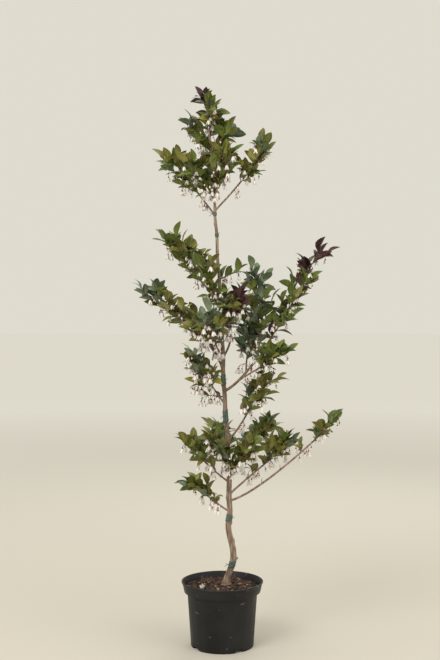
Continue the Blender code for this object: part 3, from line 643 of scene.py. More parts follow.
def new_object(name, data):
    """An object that holds the data, linked into the scene."""
    made = bpy.data.objects.new(name, data)
    bpy.context.scene.collection.objects.link(made)
    return made


def polar(angle, away=1.0, height=0.0):
    """A point at an angle round the upright axis, away from it, at a height."""
    return Vector((math.cos(angle) * away, math.sin(angle) * away, height))


def shares_of(steps):
    """Even shares of a way, from 0 to 1."""
    return [step / steps for step in range(steps + 1)]


def tapered(radius, end_share, steps):
    """Radii that narrow evenly to a share of the first."""
    return [radius * (1 - (1 - end_share) * share) for share in shares_of(steps)]


TWIG_RADII = tapered(TWIG_RADIUS, TWIG_END_SHARE, TWIG_STEPS)
SHOOT_RADII = [radius * SHOOT_RADIUS_SHARE for radius in TWIG_RADII]


class Batch:
    """Many small shapes gathered into one piece."""

    def __init__(self, name, material, slot, smooth=True):
        self.name = name
        self.material = material
        self.slot = slot
        self.smooth = smooth
        self.corners = []
        self.faces = []
        self.marks = []

    def add(self, corners, faces, marks):
        start = len(self.corners)
        self.corners += corners
        self.faces += [tuple(start + index for index in face) for face in faces]
        self.marks += marks

    def make(self):
        mesh = bpy.data.meshes.new(self.name)
        mesh.from_pydata([tuple(corner) for corner in self.corners], [], self.faces)
        marks = mesh.attributes.new("marks", "FLOAT_VECTOR", "POINT")
        marks.data.foreach_set("vector", np.array(self.marks, "f").ravel())
        mesh.materials.append(self.material)
        if self.smooth:
            mesh.shade_smooth()
        obj = new_object(self.name, mesh)
        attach(obj, "root")
        return obj


def level_side(direction):
    """A level unit vector square to a direction, or +X for one that is nearly upright."""
    side = direction.cross(UP)
    return side.normalized() if side.length > NEARLY_UPRIGHT else Vector((1.0, 0.0, 0.0))


def turn_about(direction, angle):
    """A unit vector square to a direction, turned round it by an angle from the most upright one."""
    side = level_side(direction)
    over = side.cross(direction).normalized()
    return over * math.cos(angle) + side * math.sin(angle)


def tube(points, radii, sides, mark=0.0, relief=None):
    """A closed tapering tube; relief tells how far each corner stands out."""
    corners = []
    faces = []
    marks = []
    last = len(points) - 1
    over = turn_about((points[1] - points[0]).normalized(), 0.0)
    for index, (point, radius) in enumerate(zip(points, radii)):
        ahead = (points[min(index + 1, last)] - points[max(index - 1, 0)]).normalized()
        side = over.cross(ahead).normalized()
        over = ahead.cross(side)
        for turn in range(sides):
            angle = math.tau * turn / sides
            out = side * math.cos(angle) + over * math.sin(angle)
            proud = relief(point, out, radius) if relief else 0.0
            corners.append(point + out * (radius + proud))
            marks.append((turn / sides, index / last, mark))
    for low in range(0, last * sides, sides):
        for turn in range(sides):
            after = (turn + 1) % sides
            faces.append((low + turn, low + after, low + sides + after, low + sides + turn))
    faces.append(tuple(range(sides - 1, -1, -1)))
    faces.append(tuple(range(last * sides, last * sides + sides)))
    return corners, faces, marks


def turned(profile, sides, shift):
    """A closed solid turned from a profile that starts and ends on the axis; shift moves its corners."""
    corners = [Vector((0.0, 0.0, profile[0][1])), Vector((0.0, 0.0, profile[-1][1]))]
    rows = profile[1:-1]
    for radius, height in rows:
        for turn in range(sides):
            angle = math.tau * turn / sides
            out, rise = shift(angle, radius, height)
            corners.append(polar(angle, radius + out, height + rise))
    faces = []
    for turn in range(sides):
        after = (turn + 1) % sides
        faces.append((0, 2 + turn, 2 + after))
        for row in range(len(rows) - 1):
            low = 2 + row * sides
            faces.append((low + turn, low + sides + turn, low + sides + after, low + after))
        end = 2 + (len(rows) - 1) * sides
        faces.append((1, end + after, end + turn))
    return corners, faces, [(0.0, 0.0, PLAIN_MARK)] * len(corners)


def strip(start, rows):
    """The faces between rows of three corners, the first of them at start."""
    faces = []
    for low in range(start, start + 3 * rows, 3):
        faces.append((low, low + 1, low + 4, low + 3))
        faces.append((low + 1, low + 2, low + 5, low + 4))
    return faces


def leaf(root, direction, normal, length, rng):
    """A pointed blade folded along its midrib, arched, with a short stalk."""
    side = normal.cross(direction).normalized()
    over = direction.cross(side).normalized()
    half = LEAF_WIDTH * length / LEAF_LENGTH / 2 * rng.uniform(*LEAF_WIDTHS)
    arch = rng.uniform(*LEAF_ARCH)
    droop = rng.uniform(*LEAF_DROOP)
    fold = rng.uniform(*LEAF_FOLD)
    phase = rng.uniform(0.0, math.tau)
    mark = rng.random()
    corners = []
    marks = []
    for along, width in LEAF_ROWS:
        rise = 4 * arch * max(0.0, along) * (1 - along) - droop * max(0.0, along) ** 2
        middle = root + direction * (along * length) + over * (rise * length)
        if width == 0.0:
            corners.append(middle)
            marks.append((0.0, along, mark))
            continue
        for across in (-1, 0, 1):
            wave = LEAF_WAVE * math.sin(LEAF_WAVES * along + phase + across) * abs(across)
            lift = over * (half * width * (fold + wave) * abs(across))
            corners.append(middle + side * (half * width * across) + lift)
            marks.append((float(across), along, mark))
    rows = len(LEAF_ROWS) - 2
    faces = strip(0, rows)
    low = rows * 3
    faces.append((low, low + 1, low + 3))
    faces.append((low + 1, low + 2, low + 3))
    return corners, faces, marks


def rings_along(root, direction, rings):
    """Points and radii of a small turned body that starts at root."""
    return [root + direction * along for along, _ in rings], [radius for _, radius in rings]


def bell(top, direction, rng):
    """Five pointed petals that spread a little towards their tips."""
    side = turn_about(direction, rng.uniform(0.0, math.tau))
    over = direction.cross(side).normalized()
    size = rng.uniform(*BELL_SIZES)
    spread = rng.uniform(*BELL_SPREADS)
    mark = rng.random()
    corners = []
    faces = []
    marks = []
    for petal in range(PETALS):
        start = len(corners)
        centre = math.tau * petal / PETALS
        for along, radius, half in PETAL_ROWS:
            for across in (-1, 0, 1):
                angle = centre + math.radians(half) * across
                away = radius * size * (1 + (spread - 1) * along) * (1.0 if across else PETAL_BULGE)
                out = side * math.cos(angle) + over * math.sin(angle)
                corners.append(top + direction * (along * BELL_LENGTH * size) + out * away)
                marks.append((float(across), along, mark))
        faces += strip(start, len(PETAL_ROWS) - 1)
    return corners, faces, marks


# Paths, as in the solids

def smooth_path(stations, spacing):
    """Evenly spaced rows on a smooth curve through the given rows of numbers."""
    rows = [Vector(row) for row in stations]
    rows = [rows[0]] + rows + [rows[-1]]
    path = []
    for before, start, end, after in zip(rows, rows[1:], rows[2:], rows[3:]):
        count = max(1, round(abs(end[0] - start[0]) / spacing))
        for step in range(count):
            t = step / count
            path.append(0.5 * (2 * start + (end - before) * t
                               + (2 * before - 5 * start + 4 * end - after) * t ** 2
                               + (3 * start - before - 3 * end + after) * t ** 3))
    path.append(rows[-1])
    return path


def trunk_rings():
    """The trunk's axis points and radii, from the soil to its tip."""
    points = []
    radii = []
    for row in smooth_path(TRUNK_STATIONS, TRUNK_RING_SPACING):
        height = row[0]
        wander = TRUNK_TWIST * math.sin(height * TRUNK_TWIST_RATE)
        points.append(Vector((row[1] + wander, row[2] - wander, height)))
        radii.append(row[3] / 2)
    return points, radii


def point_at_height(points, radii, height):
    """Where a path and its radius are at a height."""
    for index in range(len(points) - 1):
        low, high = points[index], points[index + 1]
        if low.z <= height <= high.z:
            share = (height - low.z) / (high.z - low.z)
            return low.lerp(high, share), radii[index] * (1 - share) + radii[index + 1] * share
    return points[-1].copy(), radii[-1]


def limb_point(limb, foot, share):
    """A point on a limb's axis, at a share of its way from foot to tip."""
    out = polar(math.radians(limb.azimuth))
    aside = UP.cross(out)
    level = share if limb.bend >= 1 else share ** (1 / limb.bend)
    climb = share ** limb.bend if limb.bend >= 1 else share
    sway = SWAY * limb.reach * math.sin(math.tau * share) * (1 if limb.azimuth % 2 else -1)
    return foot + out * (limb.reach * level) + UP * (limb.rise * climb) + aside * sway


def limb_radius(limb, share, distance):
    """A limb's radius: an even taper, with a collar near its foot."""
    collar = COLLAR_SHARE * max(0.0, 1.0 - distance / COLLAR_LENGTH)
    return (limb.girth + (TIP_RADIUS - limb.girth) * share) * (1.0 + collar)


def foot_of(limb, feet, trunk):
    """Where a limb leaves its parent's axis."""
    if limb.parent == "trunk":
        return point_at_height(*trunk, limb.foot)[0]
    parent = next(row for row in LIMBS if row.name == limb.parent)
    return limb_point(parent, feet[limb.parent], limb.foot * parent.bare)


def on_path(path, share):
    """A point and a direction on a path."""
    place = min(share, 0.999) * (len(path) - 1)
    index = int(place)
    start, end = path[index], path[index + 1]
    return start.lerp(end, place - index), (end - start).normalized()


def tree_of(points):
    tree = KDTree(len(points))
    for index, point in enumerate(points):
        tree.insert(point, index)
    tree.balance()
    return tree


# Pot and soil

def wall_radius(height):
    share = height / (POT_HEIGHT - BAND_HEIGHT)
    return BODY_FOOT_RADIUS + (BODY_TOP_RADIUS - BODY_FOOT_RADIUS) * share


def band_radius(height):
    share = (height - POT_HEIGHT + BAND_HEIGHT) / BAND_HEIGHT
    return BAND_FOOT_RADIUS + (RIM_RADIUS - POT_EDGE - BAND_FOOT_RADIUS) * share


def notch_share(angle):
    """How far inside a drain notch an angle lies, 0 outside and 1 well inside."""
    step = math.tau / NOTCH_COUNT
    offset = (angle - math.radians(NOTCH_FIRST_AZIMUTH) + step / 2) % step - step / 2
    inside = NOTCH_WIDTH / 2 - abs(offset) * BODY_FOOT_RADIUS
    return max(0.0, min(1.0, inside / NOTCH_SLOPE + 0.5))


def pot_shift(angle, radius, height):
    """Drain notches at the foot, and the faint creases of a thin wall."""
    rise = 0.0
    if height <= POT_FLOOR and radius > UNDERSIDE_RADIUS - POT_WALL:
        rise = notch_share(angle) * (NOTCH_HEIGHT - height / 2)
    crease = noise.noise(polar(angle, CREASES_ROUND, height * CREASES_UP))
    return CREASE * crease * min(1.0, height / CREASE_FADE), rise


def add_pot(batch):
    """The pot, turned from its floor up the inner side, over the rim and down to the foot."""
    band_foot = POT_HEIGHT - BAND_HEIGHT
    bead_foot = POT_HEIGHT - BEAD_HEIGHT
    body = [POT_EDGE + (band_foot - POT_WALL - POT_EDGE) * share for share in shares_of(POT_BODY_STEPS)]
    profile = [
        (0.0, POT_FLOOR),
        (UNDERSIDE_RADIUS, POT_FLOOR),
        (wall_radius(POT_FLOOR) - POT_WALL, POT_FLOOR),
        (BODY_TOP_RADIUS - POT_WALL, band_foot),
        (BAND_FOOT_RADIUS - POT_WALL, band_foot + POT_WALL),
        (band_radius(POT_HEIGHT) - POT_WALL, POT_HEIGHT - POT_EDGE / 2),
        (band_radius(POT_HEIGHT) - POT_WALL / 2, POT_HEIGHT),
        (RIM_RADIUS - POT_EDGE / 2, POT_HEIGHT),
        (RIM_RADIUS - POT_EDGE / 7, POT_HEIGHT - POT_EDGE / 7),
        (RIM_RADIUS, POT_HEIGHT - POT_EDGE / 2),
        (RIM_RADIUS, bead_foot + POT_EDGE / 2),
        (band_radius(bead_foot) + POT_EDGE / 3, bead_foot),
        (band_radius(bead_foot), bead_foot - POT_EDGE / 2),
        (band_radius(band_foot + BAND_HEIGHT / 2), band_foot + BAND_HEIGHT / 2),
        (BAND_FOOT_RADIUS, band_foot + POT_EDGE),
        (BAND_FOOT_RADIUS - POT_EDGE / 3, band_foot + POT_EDGE / 4),
        (BAND_FOOT_RADIUS - POT_EDGE, band_foot),
        (BODY_TOP_RADIUS + POT_EDGE, band_foot - POT_EDGE / 3),
    ]
    profile += [(wall_radius(height), height) for height in reversed(body)]
    profile += [
        (BODY_FOOT_RADIUS - POT_EDGE / 3, POT_EDGE / 4),
        (BODY_FOOT_RADIUS - POT_EDGE, 0.0),
        (UNDERSIDE_RADIUS, 0.0),
        (0.0, 0.0),
    ]
    batch.add(*turned(profile, POT_SIDES, pot_shift))


def soil_height(x, y):
    """The soil's height: lumpy, and a little lower at the pot's wall."""
    lumps = noise.fractal(Vector((x * SOIL_LUMPS, y * SOIL_LUMPS, SOIL_LAYER)), SOIL_FADE, FINER, 4)
    edge = max(0.0, math.hypot(x, y) / RIM_RADIUS - SOIL_EDGE_START)
    return SOIL_TOP - SOIL_SINK + SOIL_RELIEF * lumps - SOIL_EDGE_FALL * edge


def add_soil(batch):
    """The soil's lumpy top layer, and how far it reaches from the pot's axis."""
    reach = band_radius(SOIL_TOP) - POT_WALL - SOIL_GAP
    profile = [(0.0, SOIL_TOP - SOIL_DEPTH), (reach - SOIL_INSET, SOIL_TOP - SOIL_DEPTH)]
    profile += [(reach * (1 - ring / SOIL_RINGS), SOIL_TOP) for ring in range(SOIL_RINGS)]
    profile += [(0.0, SOIL_TOP)]

    def shift(angle, radius, height):
        if height < SOIL_TOP:
            return 0.0, 0.0
        return 0.0, soil_height(math.cos(angle) * radius, math.sin(angle) * radius) - height

    corners, faces, marks = turned(profile, SOIL_SIDES, shift)
    corners[1].z = soil_height(0.0, 0.0)
    batch.add(corners, [tuple(reversed(face)) for face in faces], marks)
    return reach


def chip(place, rng):
    """A rough flake of bark: a six-faced block with its corners pushed about."""
    size = Vector((rng.uniform(*CHIP_SIZES), rng.uniform(*CHIP_SIZES) * CHIP_WIDENS,
                   rng.uniform(*CHIP_THICKNESSES)))
    turn = rng.uniform(0.0, math.tau)
    tilt = Vector((rng.uniform(-CHIP_TILT, CHIP_TILT), rng.uniform(-CHIP_TILT, CHIP_TILT), 1.0)).normalized()
    side = tilt.cross(polar(turn)).normalized()
    ahead = side.cross(tilt)
    corners = []
    for signs in itertools.product((-1, 1), repeat=3):
        corner = place.copy()
        for axis, sign, extent in zip((side, ahead, tilt), signs, size):
            corner += axis * (sign * extent * rng.uniform(*CHIP_ROUGHNESS) / 2)
        corners.append(corner)
    faces = [(0, 1, 3, 2), (4, 6, 7, 5), (0, 4, 5, 1), (2, 3, 7, 6), (0, 2, 6, 4), (1, 5, 7, 3)]
    return corners, faces, [(0.0, 0.0, rng.random())] * len(corners)


def add_chips(batches, reach, rng):
    """Chips strewn evenly over the soil, each dealt to one of the batches by chance."""
    for _ in range(CHIP_COUNT):
        away = (reach - CHIP_SIZES[1]) * math.sqrt(rng.random())
        turn = rng.uniform(0.0, math.tau)
        x, y = away * math.cos(turn), away * math.sin(turn)
        place = Vector((x, y, soil_height(x, y) + rng.uniform(*CHIP_LIFTS)))
        chance = rng.random()
        for (_, share, _), batch in zip(CHIP_TONES, batches):
            if chance < share:
                break
            chance -= share
        batch.add(*chip(place, rng))


# Wood and ties

def knot_relief(point, out, radius):
    """Bark that wavers, with the trunk's knots and its root lobes."""
    spot = Vector((out.x * BARK_ROUND, out.y * BARK_ROUND, point.z * BARK_UP))
    proud = radius * BARK_RELIEF * noise.fractal(spot * BARK_SCALE, BARK_FADE, FINER, 4)
    azimuth = math.atan2(out.y, out.x)
    for height, degrees, size in KNOTS:
        turn = math.remainder(azimuth - math.radians(degrees), math.tau) * radius
        far = (point.z - height) ** 2 + turn ** 2
        proud += size * math.exp(-far / KNOT_SPREAD ** 2)
    fade = max(0.0, 1.0 - (point.z - SOIL_TOP) / FLARE_HEIGHT) ** 2
    lobes = 1.0 + math.cos(FLARE_LOBES * azimuth + FLARE_TURN)
    return proud + radius * FLARE_SHARE * lobes * fade


def plain_relief(point, out, radius):
    """Bark that wavers, for a bough or a twig."""
    spot = Vector((out.x * BARK_ROUND, out.y * BARK_ROUND, 0.0)) + point * BOUGH_SCALE
    return radius * BOUGH_RELIEF * noise.fractal(spot, BARK_FADE, FINER, 3)


def add_trunk(batch, trunk):
    """The trunk, and the stub of a cut shoot low on it."""
    points, radii = trunk
    batch.add(*tube(points, radii, TRUNK_SIDES, PLAIN_MARK, knot_relief))
    foot = point_at_height(points, radii, STUB_HEIGHT)[0]
    out = polar(math.radians(STUB_AZIMUTH), 1.0, STUB_RISE).normalized()
    stub = [foot + out * (STUB_LENGTH * share) for share in shares_of(STUB_STEPS)]
    radii = tapered(STUB_RADIUS, STUB_TAPER, STUB_STEPS)
    batch.add(*tube(stub, radii, BOUGH_SIDES, PLAIN_MARK, plain_relief))


def add_tie(batch, trunk, height, tall, degrees, rng):
    """A band of soft tie wound round the trunk, with two short ends."""
    rows = max(2, round(tall / TIE_ROW))
    fold_chance, skew_chance = [height * chance for chance in TIE_CHANCES]
    corners = []
    faces = []
    for row in range(rows + 1):
        level = height - tall / 2 + tall * row / rows
        centre, radius = point_at_height(*trunk, level)
        for layer in (0, 1):
            for turn in range(TIE_SIDES):
                angle = math.tau * turn / TIE_SIDES
                fold = math.sin(TIE_FOLDS * angle + row * TIE_FOLD_SHIFT + fold_chance)
                thickness = TIE_THICKNESS * (1 + TIE_FOLD_SHARE * max(0.0, fold))
                away = radius * (1 + BARK_RELIEF / 2) + layer * thickness
                skew = TIE_SKEW * tall * math.sin(angle + skew_chance)
                corners.append(centre + polar(angle, away, skew))
    ring = TIE_SIDES
    for turn in range(ring):
        after = (turn + 1) % ring
        for row in range(rows):
            low = row * 2 * ring
            high = low + 2 * ring
            faces.append((low + after, low + turn, high + turn, high + after))
            faces.append((low + ring + turn, low + ring + after, high + ring + after, high + ring + turn))
        top = rows * 2 * ring
        faces.append((turn, after, ring + after, ring + turn))
        faces.append((top + after, top + turn, top + ring + turn, top + ring + after))
    batch.add(corners, faces, [(0.0, 0.0, rng.random())] * len(corners))
    centre, radius = point_at_height(*trunk, height)
    radii = tapered(TIE_TAIL_WIDTH / 2, TIE_TAIL_END_SHARE, TIE_TAIL_STEPS)
    for end in (-1, 1):
        out = polar(math.radians(degrees + TIE_TAIL_TURN * end))
        root = centre + out * radius
        path = [root + out * (TIE_TAIL * share) + UP * (end * TIE_TAIL * TIE_TAIL_CURL * share ** 2)
                for share in shares_of(TIE_TAIL_STEPS)]
        batch.add(*tube(path, radii, TIE_TAIL_SIDES, rng.random()))


# Foliage

class Space:
    """The space that a mass of foliage may fill."""

    def __init__(self, own_axis, other_axes, wood):
        self.own = tree_of(own_axis)
        self.others = tree_of([point for axis in other_axes for point in axis])
        self.wood = wood

    def holds(self, point):
        inside = all(low - BOX_MARGIN < part < high + BOX_MARGIN
                     for low, part, high in zip(CAD_BOX[0], point, CAD_BOX[1]))
        return (inside and self.wood.find(point)[2] > WOOD_CLEARANCE
                and self.own.find(point)[2] < self.others.find(point)[2] + SPACE_OVERLAP)


def side_angle(ahead, number, turn, rng):
    """Where the next twig or leaf stands round a stem: all round a steep one, else to either side."""
    if ahead.z > STEEP:
        return turn + GOLDEN_TURN * number + rng.uniform(-TURN_SCATTER, TURN_SCATTER)
    return rng.uniform(*SIDE_ANGLES) * (1 if number % 2 else -1)


def twig_path(root, direction, length, rng):
    """A thin twig that curls up a little towards its end."""
    curl = UP * (TWIG_CURL * rng.uniform(*TWIG_CURLS))
    curl += turn_about(direction, rng.uniform(0, math.tau)) * TWIG_ASIDE
    return [root + direction * (length * share) + curl * (length * share ** 2)
            for share in shares_of(TWIG_STEPS)]


def grow_twig(limb, stem, number, count, turn, space, rng):
    """A side twig's path, where there is room for it."""
    share = TWIG_FIRST + TWIG_SPAN * (number + rng.uniform(*TWIG_PLACES)) / count
    root, ahead = on_path(stem, share)
    for _ in range(TRIES):
        out = turn_about(ahead, side_angle(ahead, number, turn, rng))
        direction = (ahead * TWIG_AHEAD + out * rng.uniform(*TWIG_SPREADS) + UP * TWIG_LIFT).normalized()
        length = limb.spread * rng.uniform(*TWIG_SIZES) * (TWIG_LONGEST - TWIG_SHORTENS * share)
        path = twig_path(root, direction, length, rng)
        if space.holds(path[-1]):
            return share, path
    return None


def grow_leaf(line, number, count, turn, space, rng, size):
    """One of the leaves along a stem or twig, the last at its tip, where there is room for it."""
    last = number == count - 1
    root, ahead = on_path(line, 1.0 if last else (number + LEAF_PLACE) / count)
    for attempt in range(TRIES):
        out = turn_about(ahead, side_angle(ahead, number, turn, rng))
        spread = rng.uniform(*(END_SPREADS if last else LEAF_SPREADS))
        direction = (ahead + out * spread + UP * rng.uniform(*LEAF_LIFTS)).normalized()
        normal = turn_about(direction, rng.uniform(-LEAF_ROLL, LEAF_ROLL))
        length = LEAF_LENGTH * size * rng.uniform(*LEAF_SIZES) * (1 - attempt * SMALLER_EACH_TRY)
        if all(space.holds(root + direction * (length * share)) for share in (1.0, LEAF_MIDDLE)):
            return leaf(root, direction, normal, length, rng)
    return None


def add_leaves(line, count, turn, space, rng, size, batch):
    """The leaves of one spray."""
    for number in range(count):
        made = grow_leaf(line, number, count, turn, space, rng, size)
        if made:
            batch.add(*made)


def spray_tone(limb, share, rng):
    """The tone of a spray: its limb's own towards the tip, else dealt out by chance."""
    chance = rng.random()
    own = LIMB_TONES.get(limb.name)
    if own and share >= own[1] and chance < OWN_TONE_SHARE:
        return own[0]
    # the blue-grey green tone dealt here is painted sheen
    if chance < PAINTED_SHEEN_SHARE:
        return "painted_sheen"
    return "olive" if chance < PAINTED_SHEEN_SHARE + OLIVE_SHARE else "green"


def hang_path(root, aside, length):
    """A flower's stalk: out and down, then straight down."""
    return [root + aside * (length * math.sin(math.pi / 2 * share))
            - UP * (length * STALK_DROP * share ** STALK_CURVE) for share in shares_of(STALK_STEPS)]


def add_flower(line, number, space, rng, pieces, is_open):
    """A flower or a bud hanging from a stem or twig, where there is room for it."""
    for _ in range(TRIES):
        root, ahead = on_path(line, rng.uniform(*FLOWER_PLACES))
        aside = level_side(ahead) * (1 if number % 2 else -1) * rng.uniform(*FLOWER_ASIDE)
        aside += ahead * rng.uniform(*FLOWER_AHEAD)
        length = rng.uniform(*STALK_LENGTHS) * (1.0 if is_open else BUD_STALK_SHARE)
        path = hang_path(root, aside, length)
        end = path[-1]
        lean = (end - path[-2]).normalized() * (FLOWER_LEAN if is_open else BUD_LEAN)
        direction = (lean - UP + aside * rng.uniform(*FLOWER_SWING)).normalized()
        if not (space.holds(end) and space.holds(end + direction * BELL_LENGTH)):
            continue
        pieces["stalks"].add(*tube(path, [STALK_RADIUS] * len(path), STALK_SIDES, rng.random()))
        calyx = rings_along(end - direction * CALYX_BACK, direction, CALYX_RINGS)
        pieces["calyx"].add(*tube(*calyx, RING_SIDES, rng.random()))
        if is_open:
            top = end + direction * BELL_START
            pieces["petals"].add(*bell(top, direction, rng))
            add_stamens(pieces["stamens"], top, direction, rng)
        else:
            size = rng.uniform(*BUD_SIZES)
            rings = [(BELL_START + along * size, radius * size) for along, radius in BUD_RINGS]
            pieces["buds"].add(*tube(*rings_along(end, direction, rings), RING_SIDES, rng.random()))
        return


def add_stamens(batch, top, direction, rng):
    """A ring of yellow stamens close round the bell's axis."""
    for index in range(STAMENS):
        out = turn_about(direction, math.tau * index / STAMENS)
        start = top + out * STAMEN_FOOT
        end = top + direction * (BELL_LENGTH * rng.uniform(*STAMEN_LENGTHS)) + out * STAMEN_SPREAD
        points = [start.lerp(end, along) for along, _ in STAMEN_RINGS]
        radii = [STAMEN_RADIUS * share for _, share in STAMEN_RINGS]
        batch.add(*tube(points, radii, STAMEN_SIDES, rng.random()))


def grow_mass(limb, stem, radii, space, rng, pieces):
    """A mass: its stem, side twigs and finer shoots, then their leaves and blossom."""
    turn = rng.uniform(0.0, math.tau)
    pieces["twigs"].add(*tube(stem, radii, STEM_SIDES, rng.random(), plain_relief))
    count = TWIGS_EACH * limb.twigs + (1 if limb.twigs else 0)
    lines = [(stem, max(1, round(limb.leaves * STEM_LEAVES)), 1.0, STEM_TONE_SHARE)]
    for number in range(count):
        twig = grow_twig(limb, stem, number, count, turn, space, rng)
        if not twig:
            continue
        share, path = twig
        pieces["twigs"].add(*tube(path, TWIG_RADII, TWIG_SIDES, rng.random()))
        lines.append((path, LEAVES_ON_TWIG, 1.0, share))
        if rng.random() < SHOOT_CHANCE:
            root, ahead = on_path(path, rng.uniform(*SHOOT_PLACES))
            out = turn_about(ahead, rng.uniform(*SIDE_ANGLES) * rng.choice((-1, 1)))
            shoot = twig_path(root, (ahead + out).normalized(), limb.spread * SHOOT_SHARE, rng)
            if space.holds(shoot[-1]):
                pieces["twigs"].add(*tube(shoot, SHOOT_RADII, SHOOT_SIDES, rng.random()))
                lines.append((shoot, LEAVES_ON_SHOOT, SHOOT_LEAF_SIZE, share))
    for line, leaves, size, share in lines:
        batch = pieces[spray_tone(limb, share, rng)]
        add_leaves(line, leaves, turn, space, rng, size, batch)
    both = FLOWERS_EACH + BUDS_EACH
    for number in range(limb.blossom * both):
        line = lines[number % len(lines)][0]
        add_flower(line, number, space, rng, pieces, number % both < FLOWERS_EACH)


def add_sprig(bough, share, side, space, rng, pieces):
    """A short leafy twig on a bough's bare stretch, with a few flowers."""
    root, ahead = on_path(bough, share)
    out = turn_about(ahead, SPRIG_ANGLE * side)
    path = twig_path(root, (ahead * SPRIG_AHEAD + out).normalized(), SPRIG_LENGTH, rng)
    pieces["twigs"].add(*tube(path, TWIG_RADII, TWIG_SIDES, rng.random()))
    add_leaves(path, SPRIG_LEAVES, 0.0, space, rng, SPRIG_LEAF_SIZE, pieces["olive"])
    for number in range(SPRIG_FLOWERS):
        add_flower(path, number, space, rng, pieces, number % 2 == 0)


def dense(points, parts):
    """The same path with more points, each stretch divided into parts."""
    line = []
    for start, end in zip(points, points[1:]):
        line += [start.lerp(end, part / parts) for part in range(parts)]
    return line + [points[-1]]


def limb_line(limb, foot, first, last, steps):
    """Points and radii on a limb between two shares of its way."""
    shares = [first + (last - first) * share for share in shares_of(steps)]
    points = [limb_point(limb, foot, share) for share in shares]
    radii = [limb_radius(limb, share, (point - foot).length) for share, point in zip(shares, points)]
    return points, radii


def grow_tree(pieces):
    """Trunk, boughs and every mass."""
    trunk = trunk_rings()
    add_trunk(pieces["bark"], trunk)
    feet = {}
    stems = {}
    bare = {}
    spaces = {}
    wood = list(trunk[0])
    thinning = tapered(1.0, STEM_TIP_SHARE, STEM_STEPS)
    for limb in LIMBS:
        foot = foot_of(limb, feet, trunk)
        feet[limb.name] = foot
        if limb.bare > 0:
            length = (limb_point(limb, foot, limb.bare) - foot).length
            steps = max(BOUGH_STEPS_LEAST, round(length / BOUGH_STEP))
            points, radii = limb_line(limb, foot, 0.0, limb.bare, steps)
            pieces["bark"].add(*tube(points, radii, BOUGH_SIDES, PLAIN_MARK, plain_relief))
            wood += points
            bare[limb.name] = points
        stem, radii = limb_line(limb, foot, limb.bare, 1.0, STEM_STEPS)
        stems[limb.name] = (stem, [radius * share for radius, share in zip(radii, thinning)])
    wood_tree = tree_of(dense(wood, WOOD_PARTS))
    for number, limb in enumerate(LIMBS):
        stem, radii = stems[limb.name]
        others = [dense(line, STEM_PARTS) for name, (line, _) in stems.items() if name != limb.name]
        space = Space(dense(stem, STEM_PARTS), others, wood_tree)
        spaces[limb.name] = space
        rng = random.Random(FIRST_SEED + number)
        grow_mass(limb, stem, radii, space, rng, pieces)
        if limb.name in bare:
            outer = bare[limb.name][round(len(bare[limb.name]) * BOUGH_FLOWERED):]
            for index in range(BOUGH_FLOWERS):
                add_flower(outer, index, space, rng, pieces, index % 2 == 0)
    rng = random.Random(SPRIG_SEED)
    for name, share, side in SPRIGS:
        add_sprig(bare[name], share, side, spaces[name], rng, pieces)
    return trunk


# Stage

def add_camera():
    data = bpy.data.cameras.new("camera")
    data.sensor_fit = "VERTICAL"
    data.sensor_height = SENSOR_HEIGHT
    data.lens = FOCAL_PIXELS / FRAME_HEIGHT * SENSOR_HEIGHT
    data.shift_x = -(CENTRE_PIXEL[0] - FRAME_WIDTH / 2) / FRAME_HEIGHT
    data.shift_y = -(FRAME_HEIGHT / 2 - CENTRE_PIXEL[1]) / FRAME_HEIGHT
    camera = new_object("camera", data)
    camera.location = (0.0, -CAMERA_DISTANCE, CAMERA_HEIGHT)
    camera.rotation_euler = (math.pi / 2, 0.0, 0.0)
    bpy.context.scene.camera = camera


def add_light(name, place, aim, size, power, colour):
    """A round soft light that points at a height on the plant's axis."""
    data = bpy.data.lights.new(name, "AREA")
    data.shape = "DISK"
    data.size = size
    data.energy = power
    data.color = colour
    light = new_object(name, data)
    light.location = place
    light.rotation_euler = (UP * aim - Vector(place)).to_track_quat("-Z", "Y").to_euler()


def add_stage():
    """A plain pale floor painted paler with distance as painted light, a pale surround and soft light."""
    world = bpy.data.worlds.new("surround")
    world.use_nodes = True
    background = world.node_tree.nodes["Background"]
    background.inputs["Color"].default_value = (*SURROUND, 1.0)
    background.inputs["Strength"].default_value = SURROUND_STRENGTH
    bpy.context.scene.world = world
    bpy.context.scene.view_settings.view_transform = "Standard"
    reach = FLOOR_REACH
    mesh = bpy.data.meshes.new("floor")
    mesh.from_pydata([(-reach, -reach, 0), (reach, -reach, 0), (reach, reach, 0), (-reach, reach, 0)], [],
                     [(0, 1, 2, 3)])
    mesh.materials.append(floor_material())
    floor = new_object("floor", mesh)
    for light in LIGHTS:
        add_light(*light)


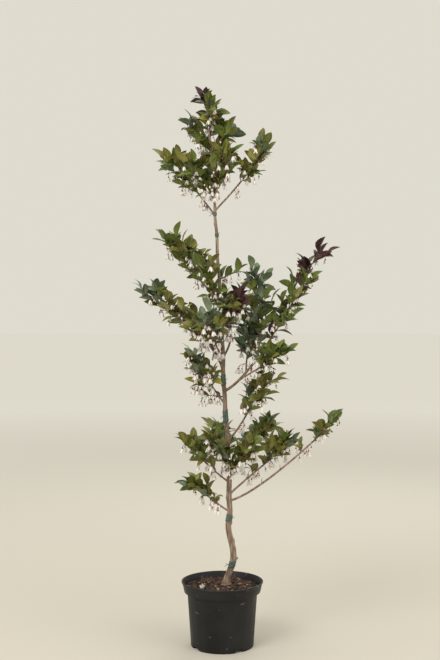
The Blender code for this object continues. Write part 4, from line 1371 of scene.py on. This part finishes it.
def add_plant():
    """The tree in place of its solids. Gives its trunk's line and its petals' material."""
    pieces = {
        "bark": Batch("bark", bark_material(), "bark"),
        "twigs": Batch("twigs", twig_material("twig_bark", *TWIG_TONES), "bark"),
        "petals": Batch("petals", petal_material("petal", *PETAL_TONES), "blossom"),
        "buds": Batch("buds", petal_material("bud", *BUD_TONES), "blossom"),
        "stalks": Batch("flower_stalks", twig_material("flower_stalk", *STALK_TONES), "foliage"),
        "calyx": Batch("calyxes", twig_material("calyx", *CALYX_TONES), "foliage"),
        "stamens": Batch("stamens", grainy_material("stamen", STAMEN_TONE, 0.6), "blossom"),
    }
    # one of these leaf tones is painted sheen, a blue-grey green standing in for the shine of lit leaves
    for tone, colour in TONES.items():
        pieces[tone] = Batch("leaves_" + tone, leaf_material("leaf_" + tone, colour), "foliage")
    trunk = grow_tree(pieces)
    objects = {name: batch.make() for name, batch in pieces.items()}
    boughs = ["bough_" + limb.name for limb in LIMBS if limb.bare > 0]
    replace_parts(objects["bark"], "trunk", *boughs)
    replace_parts(objects["twigs"], *["foliage_" + limb.name for limb in LIMBS])
    return trunk, pieces["petals"].material


def add_details(trunk, petal):
    """Ties, pot, soil, the fallen flower and the chips."""
    rng = random.Random(DETAIL_SEED)
    ties = Batch("ties", twig_material("tie", *TIE_TONES), "tie")
    for height, tall, degrees in TIES:
        add_tie(ties, trunk, height, tall, degrees, rng)
    ties.make()

    pot = Batch("pot_shell", plastic_material(), "pot_plastic")
    add_pot(pot)
    shell = pot.make()
    shell.data.set_sharp_from_angle(angle=POT_SHARP_ANGLE)
    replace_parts(shell, "pot")

    soil = Batch("soil_surface", grainy_material("soil", SOIL_TONE, 0.95), "soil")
    reach = add_soil(soil)
    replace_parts(soil.make(), "soil")
    fallen = Batch("fallen_flower", petal, "blossom")
    fallen.add(*bell(Vector(FALLEN_PLACE), Vector(FALLEN_DIRECTION).normalized(), rng))
    fallen.make()
    chips = [Batch(name, grainy_material(name, colour, 0.9, CHIP_GRAIN), "soil", smooth=False)
             for name, _, colour in CHIP_TONES]
    add_chips(chips, reach, rng)
    for batch in chips:
        batch.make()


def main():
    add_camera()
    add_stage()
    trunk, petal = add_plant()
    add_details(trunk, petal)


main()
